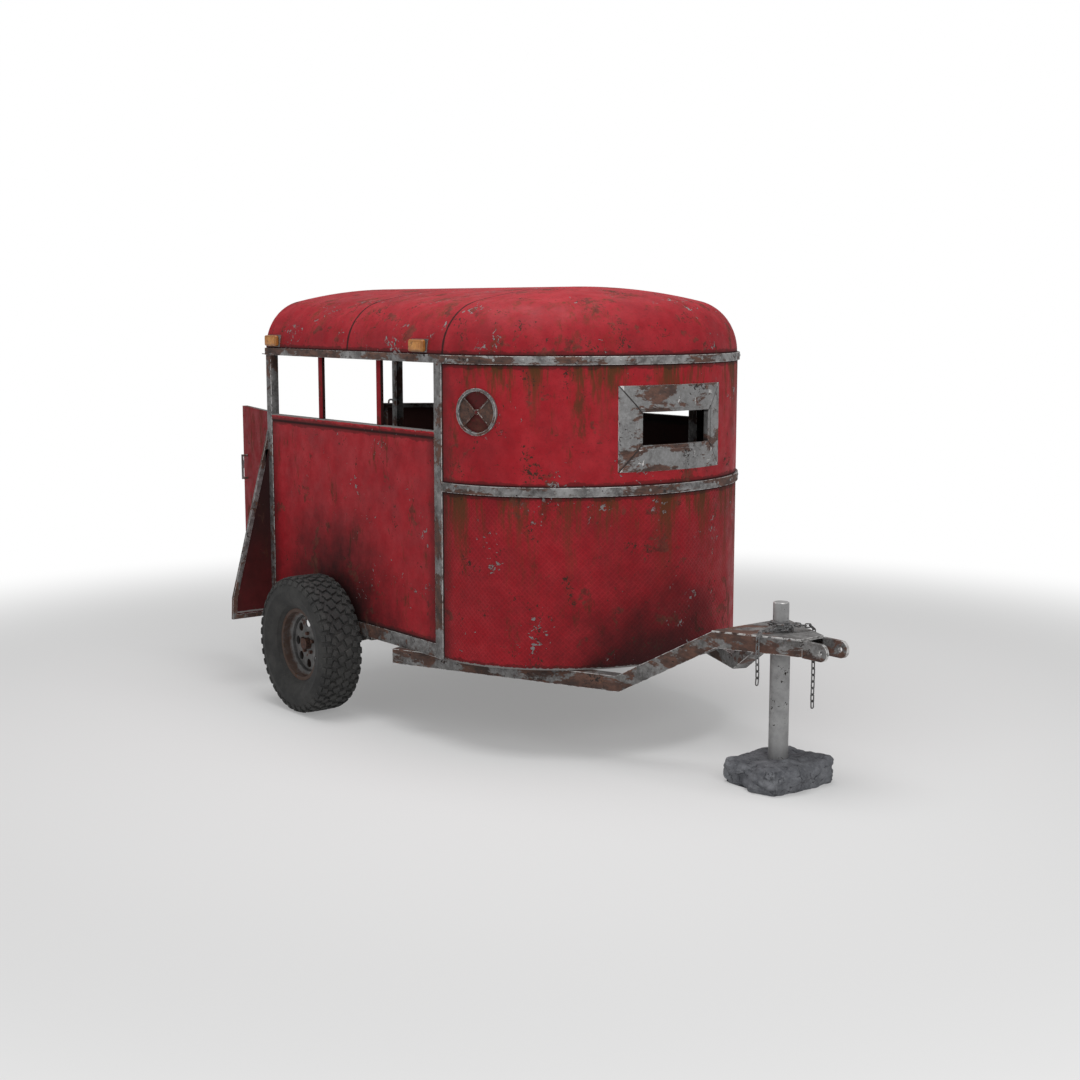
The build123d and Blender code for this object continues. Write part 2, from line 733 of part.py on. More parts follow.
def build_guards():
    """Mud guard sheets behind the wheels and their angle edging."""
    inner_y = half_width + post_proud
    outline = [(-inner_y, guard_top_z), (-half_width - guard_bend[0], guard_bend[1]),
               (-half_width - guard_bottom[0], guard_bottom[1]), (-inner_y, guard_bottom[1])]
    face = make_face(Polyline(*outline, close=True))
    outer = offset(face, guard_edge_wall, kind=Kind.INTERSECTION)
    inner = offset(face, -guard_edge, kind=Kind.INTERSECTION)
    beside = Pos(-inner_y - half_width / 2, guard_top_z) * Rectangle(half_width, 4 * guard_top_z)
    post_side = make_face(Polyline(
        (-inner_y, guard_bottom[1] + guard_edge), (-inner_y, guard_top_z - 4 * guard_edge),
        (-inner_y - guard_edge - 1, guard_top_z - 4 * guard_edge),
        (-inner_y - guard_edge - 1, guard_bottom[1] + guard_edge), close=True))
    leg = face - inner - post_side
    lip = (outer & beside) - face
    edge = extrude(Pos(sheet, 0, 0) * (Plane.YZ * leg), guard_edge_wall, dir=(1, 0, 0))
    edge += extrude(Pos(-guard_return + sheet, 0, 0) * (Plane.YZ * lip), guard_return + guard_edge_wall,
                    dir=(1, 0, 0))
    panel = extrude(Plane.YZ * face, sheet, dir=(1, 0, 0))
    return {"mud_guards": both_sides([panel]), "mud_guard_edges": both_sides([edge])}


# ---------------------------------------------------------------- wheels and axle

def turned(points, arcs=()):
    """Right wheel piece: outline of (radius, outboard) points turned about the spindle."""
    edges = []
    count = len(points)
    for index, start in enumerate(points):
        end = points[(index + 1) % count]
        through = dict(arcs).get(index)
        edges.append(ThreePointArc(start, through, end) if through else Line(start, end))
    face = make_face(edges)
    plane = Plane(origin=(wheel_x, -wheel_y, tyre_radius), x_dir=(0, 0, 1), z_dir=(1, 0, 0))
    placed = plane * face
    return revolve(placed, Axis((wheel_x, 0, tyre_radius), (0, 1, 0)), 360)


def build_wheel():
    """Tyre, dished rim, hub and nuts of the right wheel."""
    half = tyre_width / 2
    widest = (shoulder_radius + bead_radius) / 2
    heel = rim_radius + 3
    outline = [(bead_radius, -bead_half_width), (heel, -bead_half_width), (shoulder_radius, -half + 16),
               (tyre_radius, -half + 42), (tyre_radius, half - 42), (shoulder_radius, half - 16),
               (heel, bead_half_width), (bead_radius, bead_half_width)]
    inner_top = tyre_radius - 2 * tyre_wall
    inner_half = half - 30
    outline += [(bead_radius, bead_half_width - tyre_wall), (heel, bead_half_width - tyre_wall),
                (inner_top - 12, inner_half - 12), (inner_top, inner_half - 40),
                (inner_top, 40 - inner_half), (inner_top - 12, 12 - inner_half),
                (heel, tyre_wall - bead_half_width), (bead_radius, tyre_wall - bead_half_width)]
    arcs = {1: (widest, -half), 5: (widest, half), 9: (widest, half - tyre_wall),
            13: (widest, tyre_wall - half)}
    tyre = turned(outline, arcs)

    seat = bead_radius - seat_gap
    edge = rim_half_width
    well = seat - 22
    profile = [(rim_radius, edge), (rim_radius, edge - rim_wall), (seat, edge - rim_wall),
               (seat, 30), (well, 18), (well, -18), (seat, -30), (seat, -edge + rim_wall),
               (rim_radius, -edge + rim_wall), (rim_radius, -edge), (seat - rim_wall, -edge),
               (seat - rim_wall, -32), (well - rim_wall, -20), (well - rim_wall, 20),
               (seat - rim_wall, 32), (seat - rim_wall, edge)]
    rim = turned(profile)
    disc_low, disc_high = disc_offset, disc_offset + disc_thickness
    disc = turned([(hub_radius - 8, disc_low), (150, disc_low), (well - rim_wall, disc_low - 14),
                   (well - rim_wall, disc_high - 14), (150, disc_high), (hub_radius - 8, disc_high)])
    for index in range(rim_hole_count):
        angle = 2 * pi * index / rim_hole_count
        hole_x = wheel_x + rim_hole_circle * cos(angle)
        hole_z = tyre_radius + rim_hole_circle * sin(angle)
        disc -= cylinder_y(hole_x, hole_z, (-wheel_y - 60, -wheel_y + 60), rim_hole_radius)
    rim += disc

    hub_in = disc_low - hub_length
    bore = spindle_radius + running_gap
    cap = disc_high + 34
    hub = turned([(bore, hub_in), (hub_radius, hub_in), (hub_radius, disc_low - hub_flange),
                  (hub_flange_radius, disc_low - hub_flange), (hub_flange_radius, disc_low),
                  (hub_radius - 9, disc_low), (hub_radius - 9, cap), (0, cap), (0, cap - 5),
                  (bore, cap - 5)])
    nuts = []
    for index in range(nut_count):
        angle = 2 * pi * index / nut_count + pi / 2
        nut = Pos(wheel_x + nut_circle * cos(angle), -wheel_y - disc_high - nut_height / 2,
                  tyre_radius + nut_circle * sin(angle)) * Rot(90, 0, 0)
        nuts.append(nut * extrude(RegularPolygon(nut_radius, 6), nut_height / 2, both=True))
    return {"tyre": [tyre], "rim": [rim], "hub": [hub], "lug_nuts": nuts}


def arm_outer_y():
    """Distance of the arm's outboard face from the middle plane."""
    return axle_half_length + arm_gap + arm_thickness


def build_arm():
    """Right trailing arm with its torsion bar, and the spindle."""
    axle_z = frame_z - axle_tube / 2
    inner_y = -(axle_half_length + arm_gap)
    outer_y = -arm_outer_y()
    boss = cylinder_y(axle_x, axle_z, (outer_y, inner_y), arm_boss_radius)
    tip = cylinder_y(wheel_x, tyre_radius, (outer_y, inner_y), arm_tip_radius)
    run = Vector(axle_x - wheel_x, axle_z - tyre_radius)
    side = Vector(-run.Y, run.X).normalized()
    corners = [(wheel_x + side.X * arm_tip_radius, tyre_radius + side.Y * arm_tip_radius),
               (axle_x + side.X * arm_boss_radius, axle_z + side.Y * arm_boss_radius),
               (axle_x - side.X * arm_boss_radius, axle_z - side.Y * arm_boss_radius),
               (wheel_x - side.X * arm_tip_radius, tyre_radius - side.Y * arm_tip_radius)]
    web = extrude(Plane.XZ * make_face(Polyline(*corners, close=True)), arm_thickness, dir=(0, 1, 0))
    web = Pos(0, outer_y, 0) * web
    bar = cylinder_y(axle_x, axle_z, (inner_y, inner_y + torsion_length), torsion_radius)
    hub_face = -wheel_y - disc_offset + hub_length + seat_gap
    spindle = cylinder_y(wheel_x, tyre_radius, (outer_y, -wheel_y - disc_offset - 20), spindle_radius)
    spindle += cylinder_y(wheel_x, tyre_radius, (outer_y, hub_face), spindle_root_radius)
    return {"trailing_arm": [boss + tip + web + bar, spindle]}


def build_axle():
    """Square axle tube with its end bushes, mounting brackets and rubber cords."""
    z = (frame_z - axle_tube, frame_z)
    x = (axle_x - axle_tube / 2, axle_x + axle_tube / 2)
    axle_z = frame_z - axle_tube / 2
    tube_solid = tube(x, (-axle_half_length, axle_half_length), z, axle_wall, "y")
    inside = axle_tube / 2 - axle_wall
    bushes, cords = [], []
    for low in (-axle_half_length, -axle_half_length + torsion_length - bush_length - arm_gap):
        bush = block((axle_x - inside, axle_x + inside), (low, low + bush_length),
                     (axle_z - inside, axle_z + inside))
        bushes.append(bush - cylinder_y(axle_x, axle_z, (low - 1, low + bush_length + 1),
                                        torsion_radius + running_gap))
    cord_place = inside - cord_radius - seat_gap
    cord_y = (-axle_half_length + bush_length + 1, -axle_half_length + torsion_length - bush_length
              - arm_gap - 1)
    for x_sign in (-1, 1):
        for z_sign in (-1, 1):
            cords.append(cylinder_y(axle_x + x_sign * cord_place, axle_z + z_sign * cord_place,
                                    cord_y, cord_radius))
    return {
        "axle_tube": [tube_solid],
        "axle_bushes": both_sides(bushes),
        "rubber_cords": both_sides(cords),
    }


# ---------------------------------------------------------------- drawbar, prop, chain

draw_stretch = hypot(1, draw_slope)
draw_high_z = frame_z - draw_tube + draw_rise


def draw_profile(low, high):
    """Cranked outline along the drawbar member between two heights above its underside."""
    def along(x):
        return (x - draw_line_x) * draw_stretch
    shift = tan(radians(draw_angle / 2))
    run = draw_rise / tan(radians(draw_angle))
    base = frame_z - draw_tube
    bend = along(draw_bend_x)
    points = [(along(draw_rear_x), base + low), (bend - low * shift, base + low),
              (bend + run - low * shift, draw_high_z + low), (along(draw_front_x) + 200, draw_high_z + low),
              (along(draw_front_x) + 200, draw_high_z + high), (bend + run - high * shift, draw_high_z + high),
              (bend - high * shift, base + high), (along(draw_rear_x), base + high)]
    return make_face(Polyline(*points, close=True))


def build_drawbar():
    """Cranked side members, top plate and clevis ears."""
    plane = Plane(origin=(draw_line_x, -draw_line_y, 0), x_dir=(1, draw_slope, 0),
                  z_dir=(draw_slope, -1, 0))
    outer = plane * extrude(draw_profile(0, draw_tube), -draw_tube)
    inner = plane * (Pos(0, 0, -draw_wall) * extrude(
        draw_profile(draw_wall, draw_tube - draw_wall), -(draw_tube - 2 * draw_wall)))
    member = outer - inner
    member &= block((draw_rear_x - 200, draw_front_x), (-half_width - 200, 0), (0, 2000))
    plate_low = draw_high_z + draw_tube

    def edge_y(x):
        return draw_line_y - draw_slope * (x - draw_line_x)
    outline = [(plate_rear_x, -edge_y(plate_rear_x)), (plate_front_x, -edge_y(plate_front_x)),
               (plate_front_x, edge_y(plate_front_x)), (plate_rear_x, edge_y(plate_rear_x))]
    plate = extrude(Pos(0, 0, plate_low) * make_face(Polyline(*outline, close=True)), plate_thickness,
                    dir=(0, 0, 1))
    plate -= cylinder_z(prop_x, 0, (plate_low - 1, plate_low + plate_thickness + 1),
                        spigot_radius + spigot_clearance)
    ear_z = draw_high_z + draw_tube / 2
    ears = []
    for side in (-1, 1):
        y = sorted((side * ear_middle_y - ear_thickness / 2, side * ear_middle_y + ear_thickness / 2))
        ear = block((draw_front_x, ear_hole_x), y, (ear_z - ear_height / 2, ear_z + ear_height / 2))
        ear += cylinder_y(ear_hole_x, ear_z, y, ear_height / 2)
        ears.append(ear - cylinder_y(ear_hole_x, ear_z, (y[0] - 1, y[1] + 1), ear_hole_radius))
    return {
        "drawbar_members": both_sides([member]),
        "drawbar_plate": [plate],
        "clevis_ears": ears,
    }


def build_prop():
    """Prop tube with its spigot, and the stone that it stands in."""
    shoulder = draw_high_z + draw_tube - seat_gap
    tube_solid = cylinder_z(prop_x, 0, (prop_foot_z, shoulder), prop_radius)
    spigot = cylinder_z(prop_x, 0, (shoulder, spigot_high_z), spigot_radius)
    top = spigot.edges().sort_by(Axis.Z)[-1]
    spigot = chamfer(top, 3)
    outline = [(-150, -205), (20, -235), (150, -190), (205, -60), (190, 110), (110, 215),
               (-50, 240), (-160, 190), (-215, 60), (-205, -90)]
    low = Pos(prop_x, 0, 0) * make_face(Polyline(*[(x * 0.86, y * 0.86) for x, y in outline], close=True))
    wide = Pos(prop_x, 0, stone_height * 0.35) * make_face(Polyline(*outline, close=True))
    high = Pos(prop_x, 0, stone_height) * make_face(Polyline(*[(x * 0.8, y * 0.8) for x, y in outline],
                                                             close=True))
    stone = loft([low, wide], ruled=True) + loft([wide, high], ruled=True)
    stone -= cylinder_z(prop_x, 0, (prop_foot_z, stone_height + 1), prop_radius + seat_gap)
    return {"prop_post": [tube_solid, spigot], "prop_stone": [stone]}


def chain_link():
    """One welded link, long along X and wide along Y."""
    radius = link_wire / 2
    bend = (link_width - link_wire) / 2
    straight = link_pitch + link_wire - 2 * bend
    link = None
    for side in (-1, 1):
        leg = Pos(0, side * bend, 0) * Rot(0, 90, 0) * Cylinder(radius, straight)
        turn = Pos(side * straight / 2, 0, 0) * Torus(bend, radius)
        half = block((0, 100), (-50, 50), (-20, 20)) if side > 0 else block((-100, 0), (-50, 50), (-20, 20))
        turn &= Pos(side * straight / 2, 0, 0) * half
        link = leg + turn if link is None else link + leg + turn
    return link


def chain_route():
    """Points that the safety chain follows, from its near hanging end to the far one."""
    top = draw_high_z + draw_tube + plate_thickness
    lift = link_width / 2 + 1
    near_x = prop_x + 20
    near_y = -(draw_line_y - draw_slope * (near_x - draw_line_x)) - link_width / 2 - 6
    far_x = prop_x + 75
    far_y = draw_line_y - draw_slope * (far_x - draw_line_x) + link_width / 2 + 6
    wrap = spigot_radius + link_width / 2 + 4
    points = [(near_x, near_y, 520), (near_x, near_y, 640), (near_x, near_y, top - 28),
              (near_x + 1, near_y + 6, top + 12), (near_x + 4, near_y + 38, top + lift + 8)]
    for turn in range(-50, 371, 30):
        climb = min(max((turn - 40) / 220, 0), 1)
        points.append((prop_x + wrap * cos(radians(turn)), wrap * sin(radians(turn)),
                       top + lift + climb * (link_width + 3)))
    points += [(far_x - 10, 60, top + lift + 18), (far_x - 3, far_y - 40, top + lift + 10),
               (far_x, far_y - 6, top + 12), (far_x, far_y, top - 28), (far_x, far_y, 520),
               (far_x, far_y, 365)]
    return points


def build_chain():
    """Safety chain laid over the drawbar plate and once round the spigot."""
    route = Spline(*chain_route())
    step = link_pitch - link_gap
    count = int(route.length // step)
    link = chain_link()
    links = []
    for index in range(count):
        start = route.position_at(index * step / route.length)
        end = route.position_at(min((index + 1) * step / route.length, 1.0))
        middle = (start + end) * 0.5
        ahead = (end - start).normalized()
        reference = Vector(0, 0, 1) if abs(ahead.Z) < 0.8 else Vector(1, 0, 0)
        across = ahead.cross(reference).normalized()
        if index % 2:
            across = ahead.cross(across).normalized()
        place = Plane(origin=middle, x_dir=ahead, z_dir=ahead.cross(across))
        links.append(place * link)
    return {"safety_chain": links}


# ---------------------------------------------------------------- assembly

def build_all():
    """Every node of the trailer by name, each a list of solids."""
    nodes = {}
    for build in (build_frame, build_sides, build_nose, build_rivets, build_window, build_vents,
                  build_roof, build_lamps, build_doors, build_guards, build_axle, build_drawbar,
                  build_prop, build_chain):
        nodes.update(build())
    for name, solids in {**build_wheel(), **build_arm()}.items():
        nodes[f"{name}_right"] = solids
        nodes[f"{name}_left"] = other_side(solids)
    return nodes


def main():
    """Write one STEP file per node, centred below the overall box."""
    nodes = build_all()
    os.makedirs("parts", exist_ok=True)
    lows = []
    highs = []
    for solids in nodes.values():
        for solid in solids:
            box = solid.bounding_box()
            lows.append(box.min.X)
            highs.append(box.max.X)
    shift = -(min(lows) + max(highs)) / 2
    for name, solids in nodes.items():
        moved = []
        for shape in solids:
            moved += (Pos(shift, 0, 0) * shape).solids()
        export_step(Compound(moved), f"parts/{name}.step")
    print(f"{len(nodes)} nodes, shift along X {shift:.4f}")


if __name__ == "__main__":
    main()
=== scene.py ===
import logging
import math
from dataclasses import dataclass
from enum import Enum
from typing import ClassVar

import bpy
from mathutils import Matrix, Vector


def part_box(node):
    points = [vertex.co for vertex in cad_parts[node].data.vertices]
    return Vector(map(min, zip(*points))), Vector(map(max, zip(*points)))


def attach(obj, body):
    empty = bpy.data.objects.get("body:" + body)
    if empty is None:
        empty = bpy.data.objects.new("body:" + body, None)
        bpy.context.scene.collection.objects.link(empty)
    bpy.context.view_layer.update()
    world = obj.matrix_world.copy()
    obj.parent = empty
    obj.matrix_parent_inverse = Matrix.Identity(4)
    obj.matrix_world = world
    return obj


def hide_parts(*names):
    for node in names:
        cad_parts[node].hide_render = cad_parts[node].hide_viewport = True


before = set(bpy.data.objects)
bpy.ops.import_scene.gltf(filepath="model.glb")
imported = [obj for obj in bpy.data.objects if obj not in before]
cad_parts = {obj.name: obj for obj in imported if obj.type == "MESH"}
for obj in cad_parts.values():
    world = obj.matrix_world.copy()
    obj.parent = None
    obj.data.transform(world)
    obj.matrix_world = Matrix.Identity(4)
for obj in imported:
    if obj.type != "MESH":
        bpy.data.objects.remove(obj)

LOG = logging.getLogger("livestock_trailer")
Colour = tuple[float, float, float]
Place = tuple[float, float, float]
Value = bpy.types.NodeSocket | float | Place
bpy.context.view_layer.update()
CABIN_MIDDLE: Place = (0.35, 0.0, 1.35)


class Body(Enum):
    """Moving bodies of the trailer that new pieces ride on."""

    TRAILER = "trailer"
    WHEEL_RIGHT = "wheel_right"
    WHEEL_LEFT = "wheel_left"
    PROP = "prop"
    VENT_RIGHT = "vent_right"
    VENT_LEFT = "vent_left"


class Slot(Enum):
    """Names of two material slots of the record, for the tyre and the stone."""

    TYRE = "tyre"
    STONE = "stone"


class Tint:
    """Colours of dirt, wear, bare material, painted shade and painted highlight that lie over the finishes,
    as linear light.
    """

    BLOTCH = (0.115, 0.012, 0.015)
    MOTTLE = (0.085, 0.012, 0.014)
    SMUDGE = (0.080, 0.030, 0.014)
    # Painted shade in the emboss hollows.
    HOLLOW_SHADE = (0.14, 0.008, 0.012)
    DRIP = (0.088, 0.036, 0.014)
    # Soot and painted shade round the wheels and the nose's lower corner.
    SOOT_SHADE = (0.020, 0.010, 0.010)
    # Grime and painted shade beside bands.
    GRIME_SHADE = (0.030, 0.013, 0.012)
    CREVICE = (0.016, 0.010, 0.010)
    SPECK = (0.050, 0.024, 0.018)
    CHIP_RIM = (0.035, 0.018, 0.016)
    CHIP = (0.22, 0.20, 0.20)
    RUBBED = (0.21, 0.195, 0.19)
    SEAM = (0.022, 0.014, 0.013)
    # Grime and painted shade beside upright seams.
    EDGE_GRIME_SHADE = (0.040, 0.012, 0.012)
    # Painted shade on faces that look into the body.
    INTERIOR_SHADE = (0.020, 0.015, 0.013)
    RUST_DARK = (0.040, 0.021, 0.016)
    RUST_BROWN = (0.125, 0.055, 0.036)
    RUST_BRIGHT = (0.24, 0.10, 0.045)
    RUST_LIP = (0.085, 0.042, 0.026)
    ZINC = (0.33, 0.33, 0.335)
    OIL = (0.030, 0.024, 0.022)
    PIT = (0.022, 0.016, 0.014)
    # Rubbed bare steel and painted highlight on rounded edges.
    BARE_AND_GLINT_STEEL = (0.62, 0.61, 0.60)
    MITRE = (0.020, 0.016, 0.015)
    RUBBER_DARK = (0.022, 0.022, 0.022)
    RUBBER_PALE = (0.046, 0.045, 0.043)
    DUST = (0.090, 0.085, 0.078)
    ROCK_DARK = (0.090, 0.094, 0.106)
    ROCK_PALE = (0.225, 0.232, 0.250)
    ROCK_SALT = (0.33, 0.335, 0.35)
    ROCK_CRACK = (0.022, 0.023, 0.028)
    PLANK_DARK = (0.075, 0.055, 0.040)
    PLANK_PALE = (0.19, 0.15, 0.115)
    PLANK_STAIN = (0.030, 0.023, 0.018)
    AMBER_DEEP = (0.40, 0.135, 0.018)
    AMBER_PALE = (0.60, 0.27, 0.055)
    AMBER_GRIME = (0.055, 0.030, 0.016)
    AMBER_RIM = (0.16, 0.055, 0.014)


# ---------------------------------------------------------------- node trees


class Graph:
    """Adds nodes to one node tree and joins their sockets."""

    def __init__(self, tree: bpy.types.NodeTree) -> None:
        """Keep the tree that the nodes go into."""
        self.tree = tree

    def node(self, kind: str, **settings: object) -> bpy.types.Node:
        """Add a node.

        Args:
            kind: The node's type name.
            settings: Properties to set on it.

        Returns:
            The new node.
        """
        made = self.tree.nodes.new(kind)
        for name, value in settings.items():
            setattr(made, name, value)
        return made

    def feed(self, socket: bpy.types.NodeSocket, value: Value) -> None:
        """Link a socket to another one, or set it to a plain value.

        Args:
            socket: The input socket.
            value: A socket, a number, or three numbers.
        """
        if isinstance(value, bpy.types.NodeSocket):
            self.tree.links.new(value, socket)
        elif socket.type == "RGBA":
            socket.default_value = (*value, 1.0)
        else:
            socket.default_value = value

    def maths(self, operation: str, first: Value, second: Value = 0.0, clamp: bool = False
              ) -> bpy.types.NodeSocket:
        """One step of arithmetic on numbers.

        Args:
            operation: The name of the operation.
            first: Its first value.
            second: Its second value.
            clamp: Whether the result is kept from 0 to 1.

        Returns:
            The result.
        """
        made = self.node("ShaderNodeMath", operation=operation, use_clamp=clamp)
        self.feed(made.inputs[0], first)
        self.feed(made.inputs[1], second)
        return made.outputs[0]

    def vectors(self, operation: str, first: Value, second: Value) -> bpy.types.NodeSocket:
        """One step of arithmetic on vectors.

        Args:
            operation: The name of the operation.
            first: Its first vector.
            second: Its second vector.

        Returns:
            The resulting vector, or number for a dot product or a distance.
        """
        made = self.node("ShaderNodeVectorMath", operation=operation)
        self.feed(made.inputs[0], first)
        self.feed(made.inputs[1], second)
        return made.outputs["Value" if operation in ("DOT_PRODUCT", "DISTANCE", "LENGTH") else "Vector"]

    def split(self, vector: Value) -> tuple[bpy.types.NodeSocket, ...]:
        """The three parts of a vector."""
        made = self.node("ShaderNodeSeparateXYZ")
        self.feed(made.inputs[0], vector)
        return made.outputs[0], made.outputs[1], made.outputs[2]

    def noise(self, vector: Value, scale: Value, detail: float = 4.0, roughness: float = 0.6,
              distortion: float = 0.0) -> bpy.types.NodeSocket:
        """Fractal noise about 0.5.

        Args:
            vector: Where it is read.
            scale: Its fineness.
            detail: Its octaves.
            roughness: How strong the fine octaves are.
            distortion: How much it is warped.

        Returns:
            The noise value.
        """
        made = self.node("ShaderNodeTexNoise")
        self.feed(made.inputs["Vector"], vector)
        self.feed(made.inputs["Scale"], scale)
        made.inputs["Detail"].default_value = detail
        made.inputs["Roughness"].default_value = roughness
        made.inputs["Distortion"].default_value = distortion
        return made.outputs["Fac"]

    def step(self, value: Value, low: Value, high: Value, bottom: float = 0.0, top: float = 1.0
             ) -> bpy.types.NodeSocket:
        """Smooth step of a value between two levels.

        Args:
            value: The value that is read.
            low: Level where the step starts.
            high: Level where it ends.
            bottom: Result below the step.
            top: Result above it.

        Returns:
            The stepped value.
        """
        made = self.node("ShaderNodeMapRange", interpolation_type="SMOOTHSTEP")
        for socket, given in zip(made.inputs, (value, low, high, bottom, top)):
            self.feed(socket, given)
        return made.outputs[0]

    def mix(self, share: Value, first: Value, second: Value) -> bpy.types.NodeSocket:
        """Blend two colours.

        Args:
            share: How much of the second there is.
            first: The colour at 0.
            second: The colour at 1.

        Returns:
            The blended colour.
        """
        made = self.node("ShaderNodeMix", data_type="RGBA")
        self.feed(made.inputs[0], share)
        self.feed(made.inputs[6], first)
        self.feed(made.inputs[7], second)
        return made.outputs[2]

    def use(self, group: bpy.types.NodeTree, **given: Value) -> bpy.types.Node:
        """Place a node group.

        Args:
            group: The shared effect.
            given: Values for its named inputs.

        Returns:
            The group's node.
        """
        made = self.node("ShaderNodeGroup", node_tree=group)
        for name, value in given.items():
            self.feed(made.inputs[name], value)
        return made


class Effects:
    """The wear, dirt and painted-shade effects that several finishes share, each a node group built once."""

    def __init__(self) -> None:
        """Build every group."""
        self.rust = self._rust()
        self.streaks = self._streaks()
        self.chips = self._chips()
        self.soot_shade = self._soot_shade()
        self.level = self._level()
        self.grain = self._grain()
        self.inside = self._inside()

    @staticmethod
    def _open(name: str, inputs: dict[str, str], outputs: dict[str, str]
              ) -> tuple[bpy.types.NodeTree, Graph, bpy.types.Node, bpy.types.Node]:
        """Start a group with named sockets.

        Args:
            name: The group's name.
            inputs: Input names with their kinds, Float, Vector or Color.
            outputs: Output names with their kinds.

        Returns:
            The tree, its graph, and its input and output nodes.
        """
        tree = bpy.data.node_groups.new(name, "ShaderNodeTree")
        for label, kind in inputs.items():
            tree.interface.new_socket(label, in_out="INPUT", socket_type=f"NodeSocket{kind}")
        for label, kind in outputs.items():
            tree.interface.new_socket(label, in_out="OUTPUT", socket_type=f"NodeSocket{kind}")
        graph = Graph(tree)
        return tree, graph, graph.node("NodeGroupInput"), graph.node("NodeGroupOutput")

    def _rust(self) -> bpy.types.NodeTree:
        """Irregular patches of brown rust with a pitted surface."""
        tree, g, given, out = self._open(
            "rust_patches", {"Vector": "Vector", "Scale": "Float", "Amount": "Float"},
            {"Mask": "Float", "Colour": "Color", "Height": "Float"})
        where, scale = given.outputs["Vector"], given.outputs["Scale"]
        broad = g.noise(where, scale, 7.0, 0.62, 0.4)
        fine = g.noise(where, g.maths("MULTIPLY", scale, 7.0), 4.0, 0.7)
        total = g.maths("ADD", g.maths("MULTIPLY", broad, 0.8), g.maths("MULTIPLY", fine, 0.2))
        level = g.maths("SUBTRACT", 0.70, g.maths("MULTIPLY", given.outputs["Amount"], 0.32))
        mask = g.step(total, level, g.maths("ADD", level, 0.035))
        tone = g.step(g.noise(where, g.maths("MULTIPLY", scale, 3.3), 6.0, 0.7), 0.35, 0.68)
        colour = g.mix(tone, Tint.RUST_DARK, Tint.RUST_BROWN)
        bright = g.step(g.noise(where, g.maths("MULTIPLY", scale, 11.0), 3.0, 0.6), 0.58, 0.72)
        colour = g.mix(g.maths("MULTIPLY", bright, 0.35), colour, Tint.RUST_BRIGHT)
        g.feed(out.inputs["Mask"], mask)
        g.feed(out.inputs["Colour"], colour)
        g.feed(out.inputs["Height"], g.maths("MULTIPLY", mask, fine))
        return tree

    def _streaks(self) -> bpy.types.NodeTree:
        """Stains that run down from a level and fade out below it."""
        tree, g, given, out = self._open(
            "drip_streaks", {"Vector": "Vector", "Top": "Float", "Length": "Float", "Amount": "Float"},
            {"Mask": "Float"})
        where = given.outputs["Vector"]
        height = g.split(where)[2]
        fall = g.maths("DIVIDE", g.maths("SUBTRACT", given.outputs["Top"], height), given.outputs["Length"])
        columns = g.noise(g.vectors("MULTIPLY", where, (1.0, 1.0, 0.12)), 6.8, 6.0, 0.66)
        threads = g.noise(g.vectors("MULTIPLY", where, (1.0, 1.0, 0.16)), 60.0, 4.0, 0.7)
        body = g.maths("ADD", g.maths("MULTIPLY", columns, 0.70), g.maths("MULTIPLY", threads, 0.30))
        level = g.maths("SUBTRACT", 0.68, g.maths("MULTIPLY", given.outputs["Amount"], 0.20))
        mask = g.step(body, level, g.maths("ADD", level, 0.13))
        fade = g.maths("SUBTRACT", 1.0, fall, clamp=True)
        mask = g.maths("MULTIPLY", mask, g.maths("POWER", fade, 1.2))
        started = g.step(fall, -0.02, 0.03)
        g.feed(out.inputs["Mask"], g.maths("MULTIPLY", mask, started, clamp=True))
        return tree

    def _chips(self) -> bpy.types.NodeTree:
        """Sharp flakes where paint has come off, in scattered clusters, with a thin dark rim."""
        tree, g, given, out = self._open(
            "paint_chips", {"Vector": "Vector", "Scale": "Float", "Amount": "Float"},
            {"Mask": "Float", "Rim": "Float"})
        where, scale = given.outputs["Vector"], given.outputs["Scale"]
        clusters = g.noise(where, g.maths("MULTIPLY", scale, 0.12), 2.0, 0.5)
        flakes = g.noise(where, scale, 9.0, 0.58, 0.9)
        level = g.maths("SUBTRACT", 0.86, g.maths("MULTIPLY", given.outputs["Amount"], 0.20))
        value = g.maths("ADD", flakes, g.maths("MULTIPLY", g.maths("SUBTRACT", clusters, 0.5), 0.7))
        g.feed(out.inputs["Mask"], g.step(value, level, g.maths("ADD", level, 0.008)))
        g.feed(out.inputs["Rim"], g.step(value, g.maths("SUBTRACT", level, 0.022), level))
        return tree

    def _soot_shade(self) -> bpy.types.NodeTree:
        """Dark haze around a point, thinning outwards."""
        tree, g, given, out = self._open(
            "soot_shade_haze", {"Vector": "Vector", "Centre": "Vector", "Radius": "Float"}, {"Mask": "Float"})
        where = given.outputs["Vector"]
        away = g.maths("DIVIDE", g.vectors("DISTANCE", where, given.outputs["Centre"]),
                       given.outputs["Radius"])
        cloud = g.noise(where, 5.0, 6.0, 0.7)
        reach = g.maths("ADD", away, g.maths("MULTIPLY", g.maths("SUBTRACT", cloud, 0.5), 0.7))
        g.feed(out.inputs["Mask"], g.step(reach, 0.25, 1.0, 1.0, 0.0))
        return tree

    def _level(self) -> bpy.types.NodeTree:
        """Broken band about one height, for edges that are rubbed, and for grime beside bands that is partly
        painted shade.
        """
        tree, g, given, out = self._open(
            "wear_and_shade_band", {"Vector": "Vector", "Level": "Float", "Width": "Float", "Breaks": "Float"},
            {"Mask": "Float"})
        where = given.outputs["Vector"]
        away = g.maths("ABSOLUTE", g.maths("SUBTRACT", g.split(where)[2], given.outputs["Level"]))
        near = g.maths("SUBTRACT", 1.0, g.maths("DIVIDE", away, given.outputs["Width"]), clamp=True)
        ragged = g.noise(where, given.outputs["Breaks"], 6.0, 0.65)
        g.feed(out.inputs["Mask"], g.step(g.maths("ADD", near, ragged), 1.02, 1.16))
        return tree

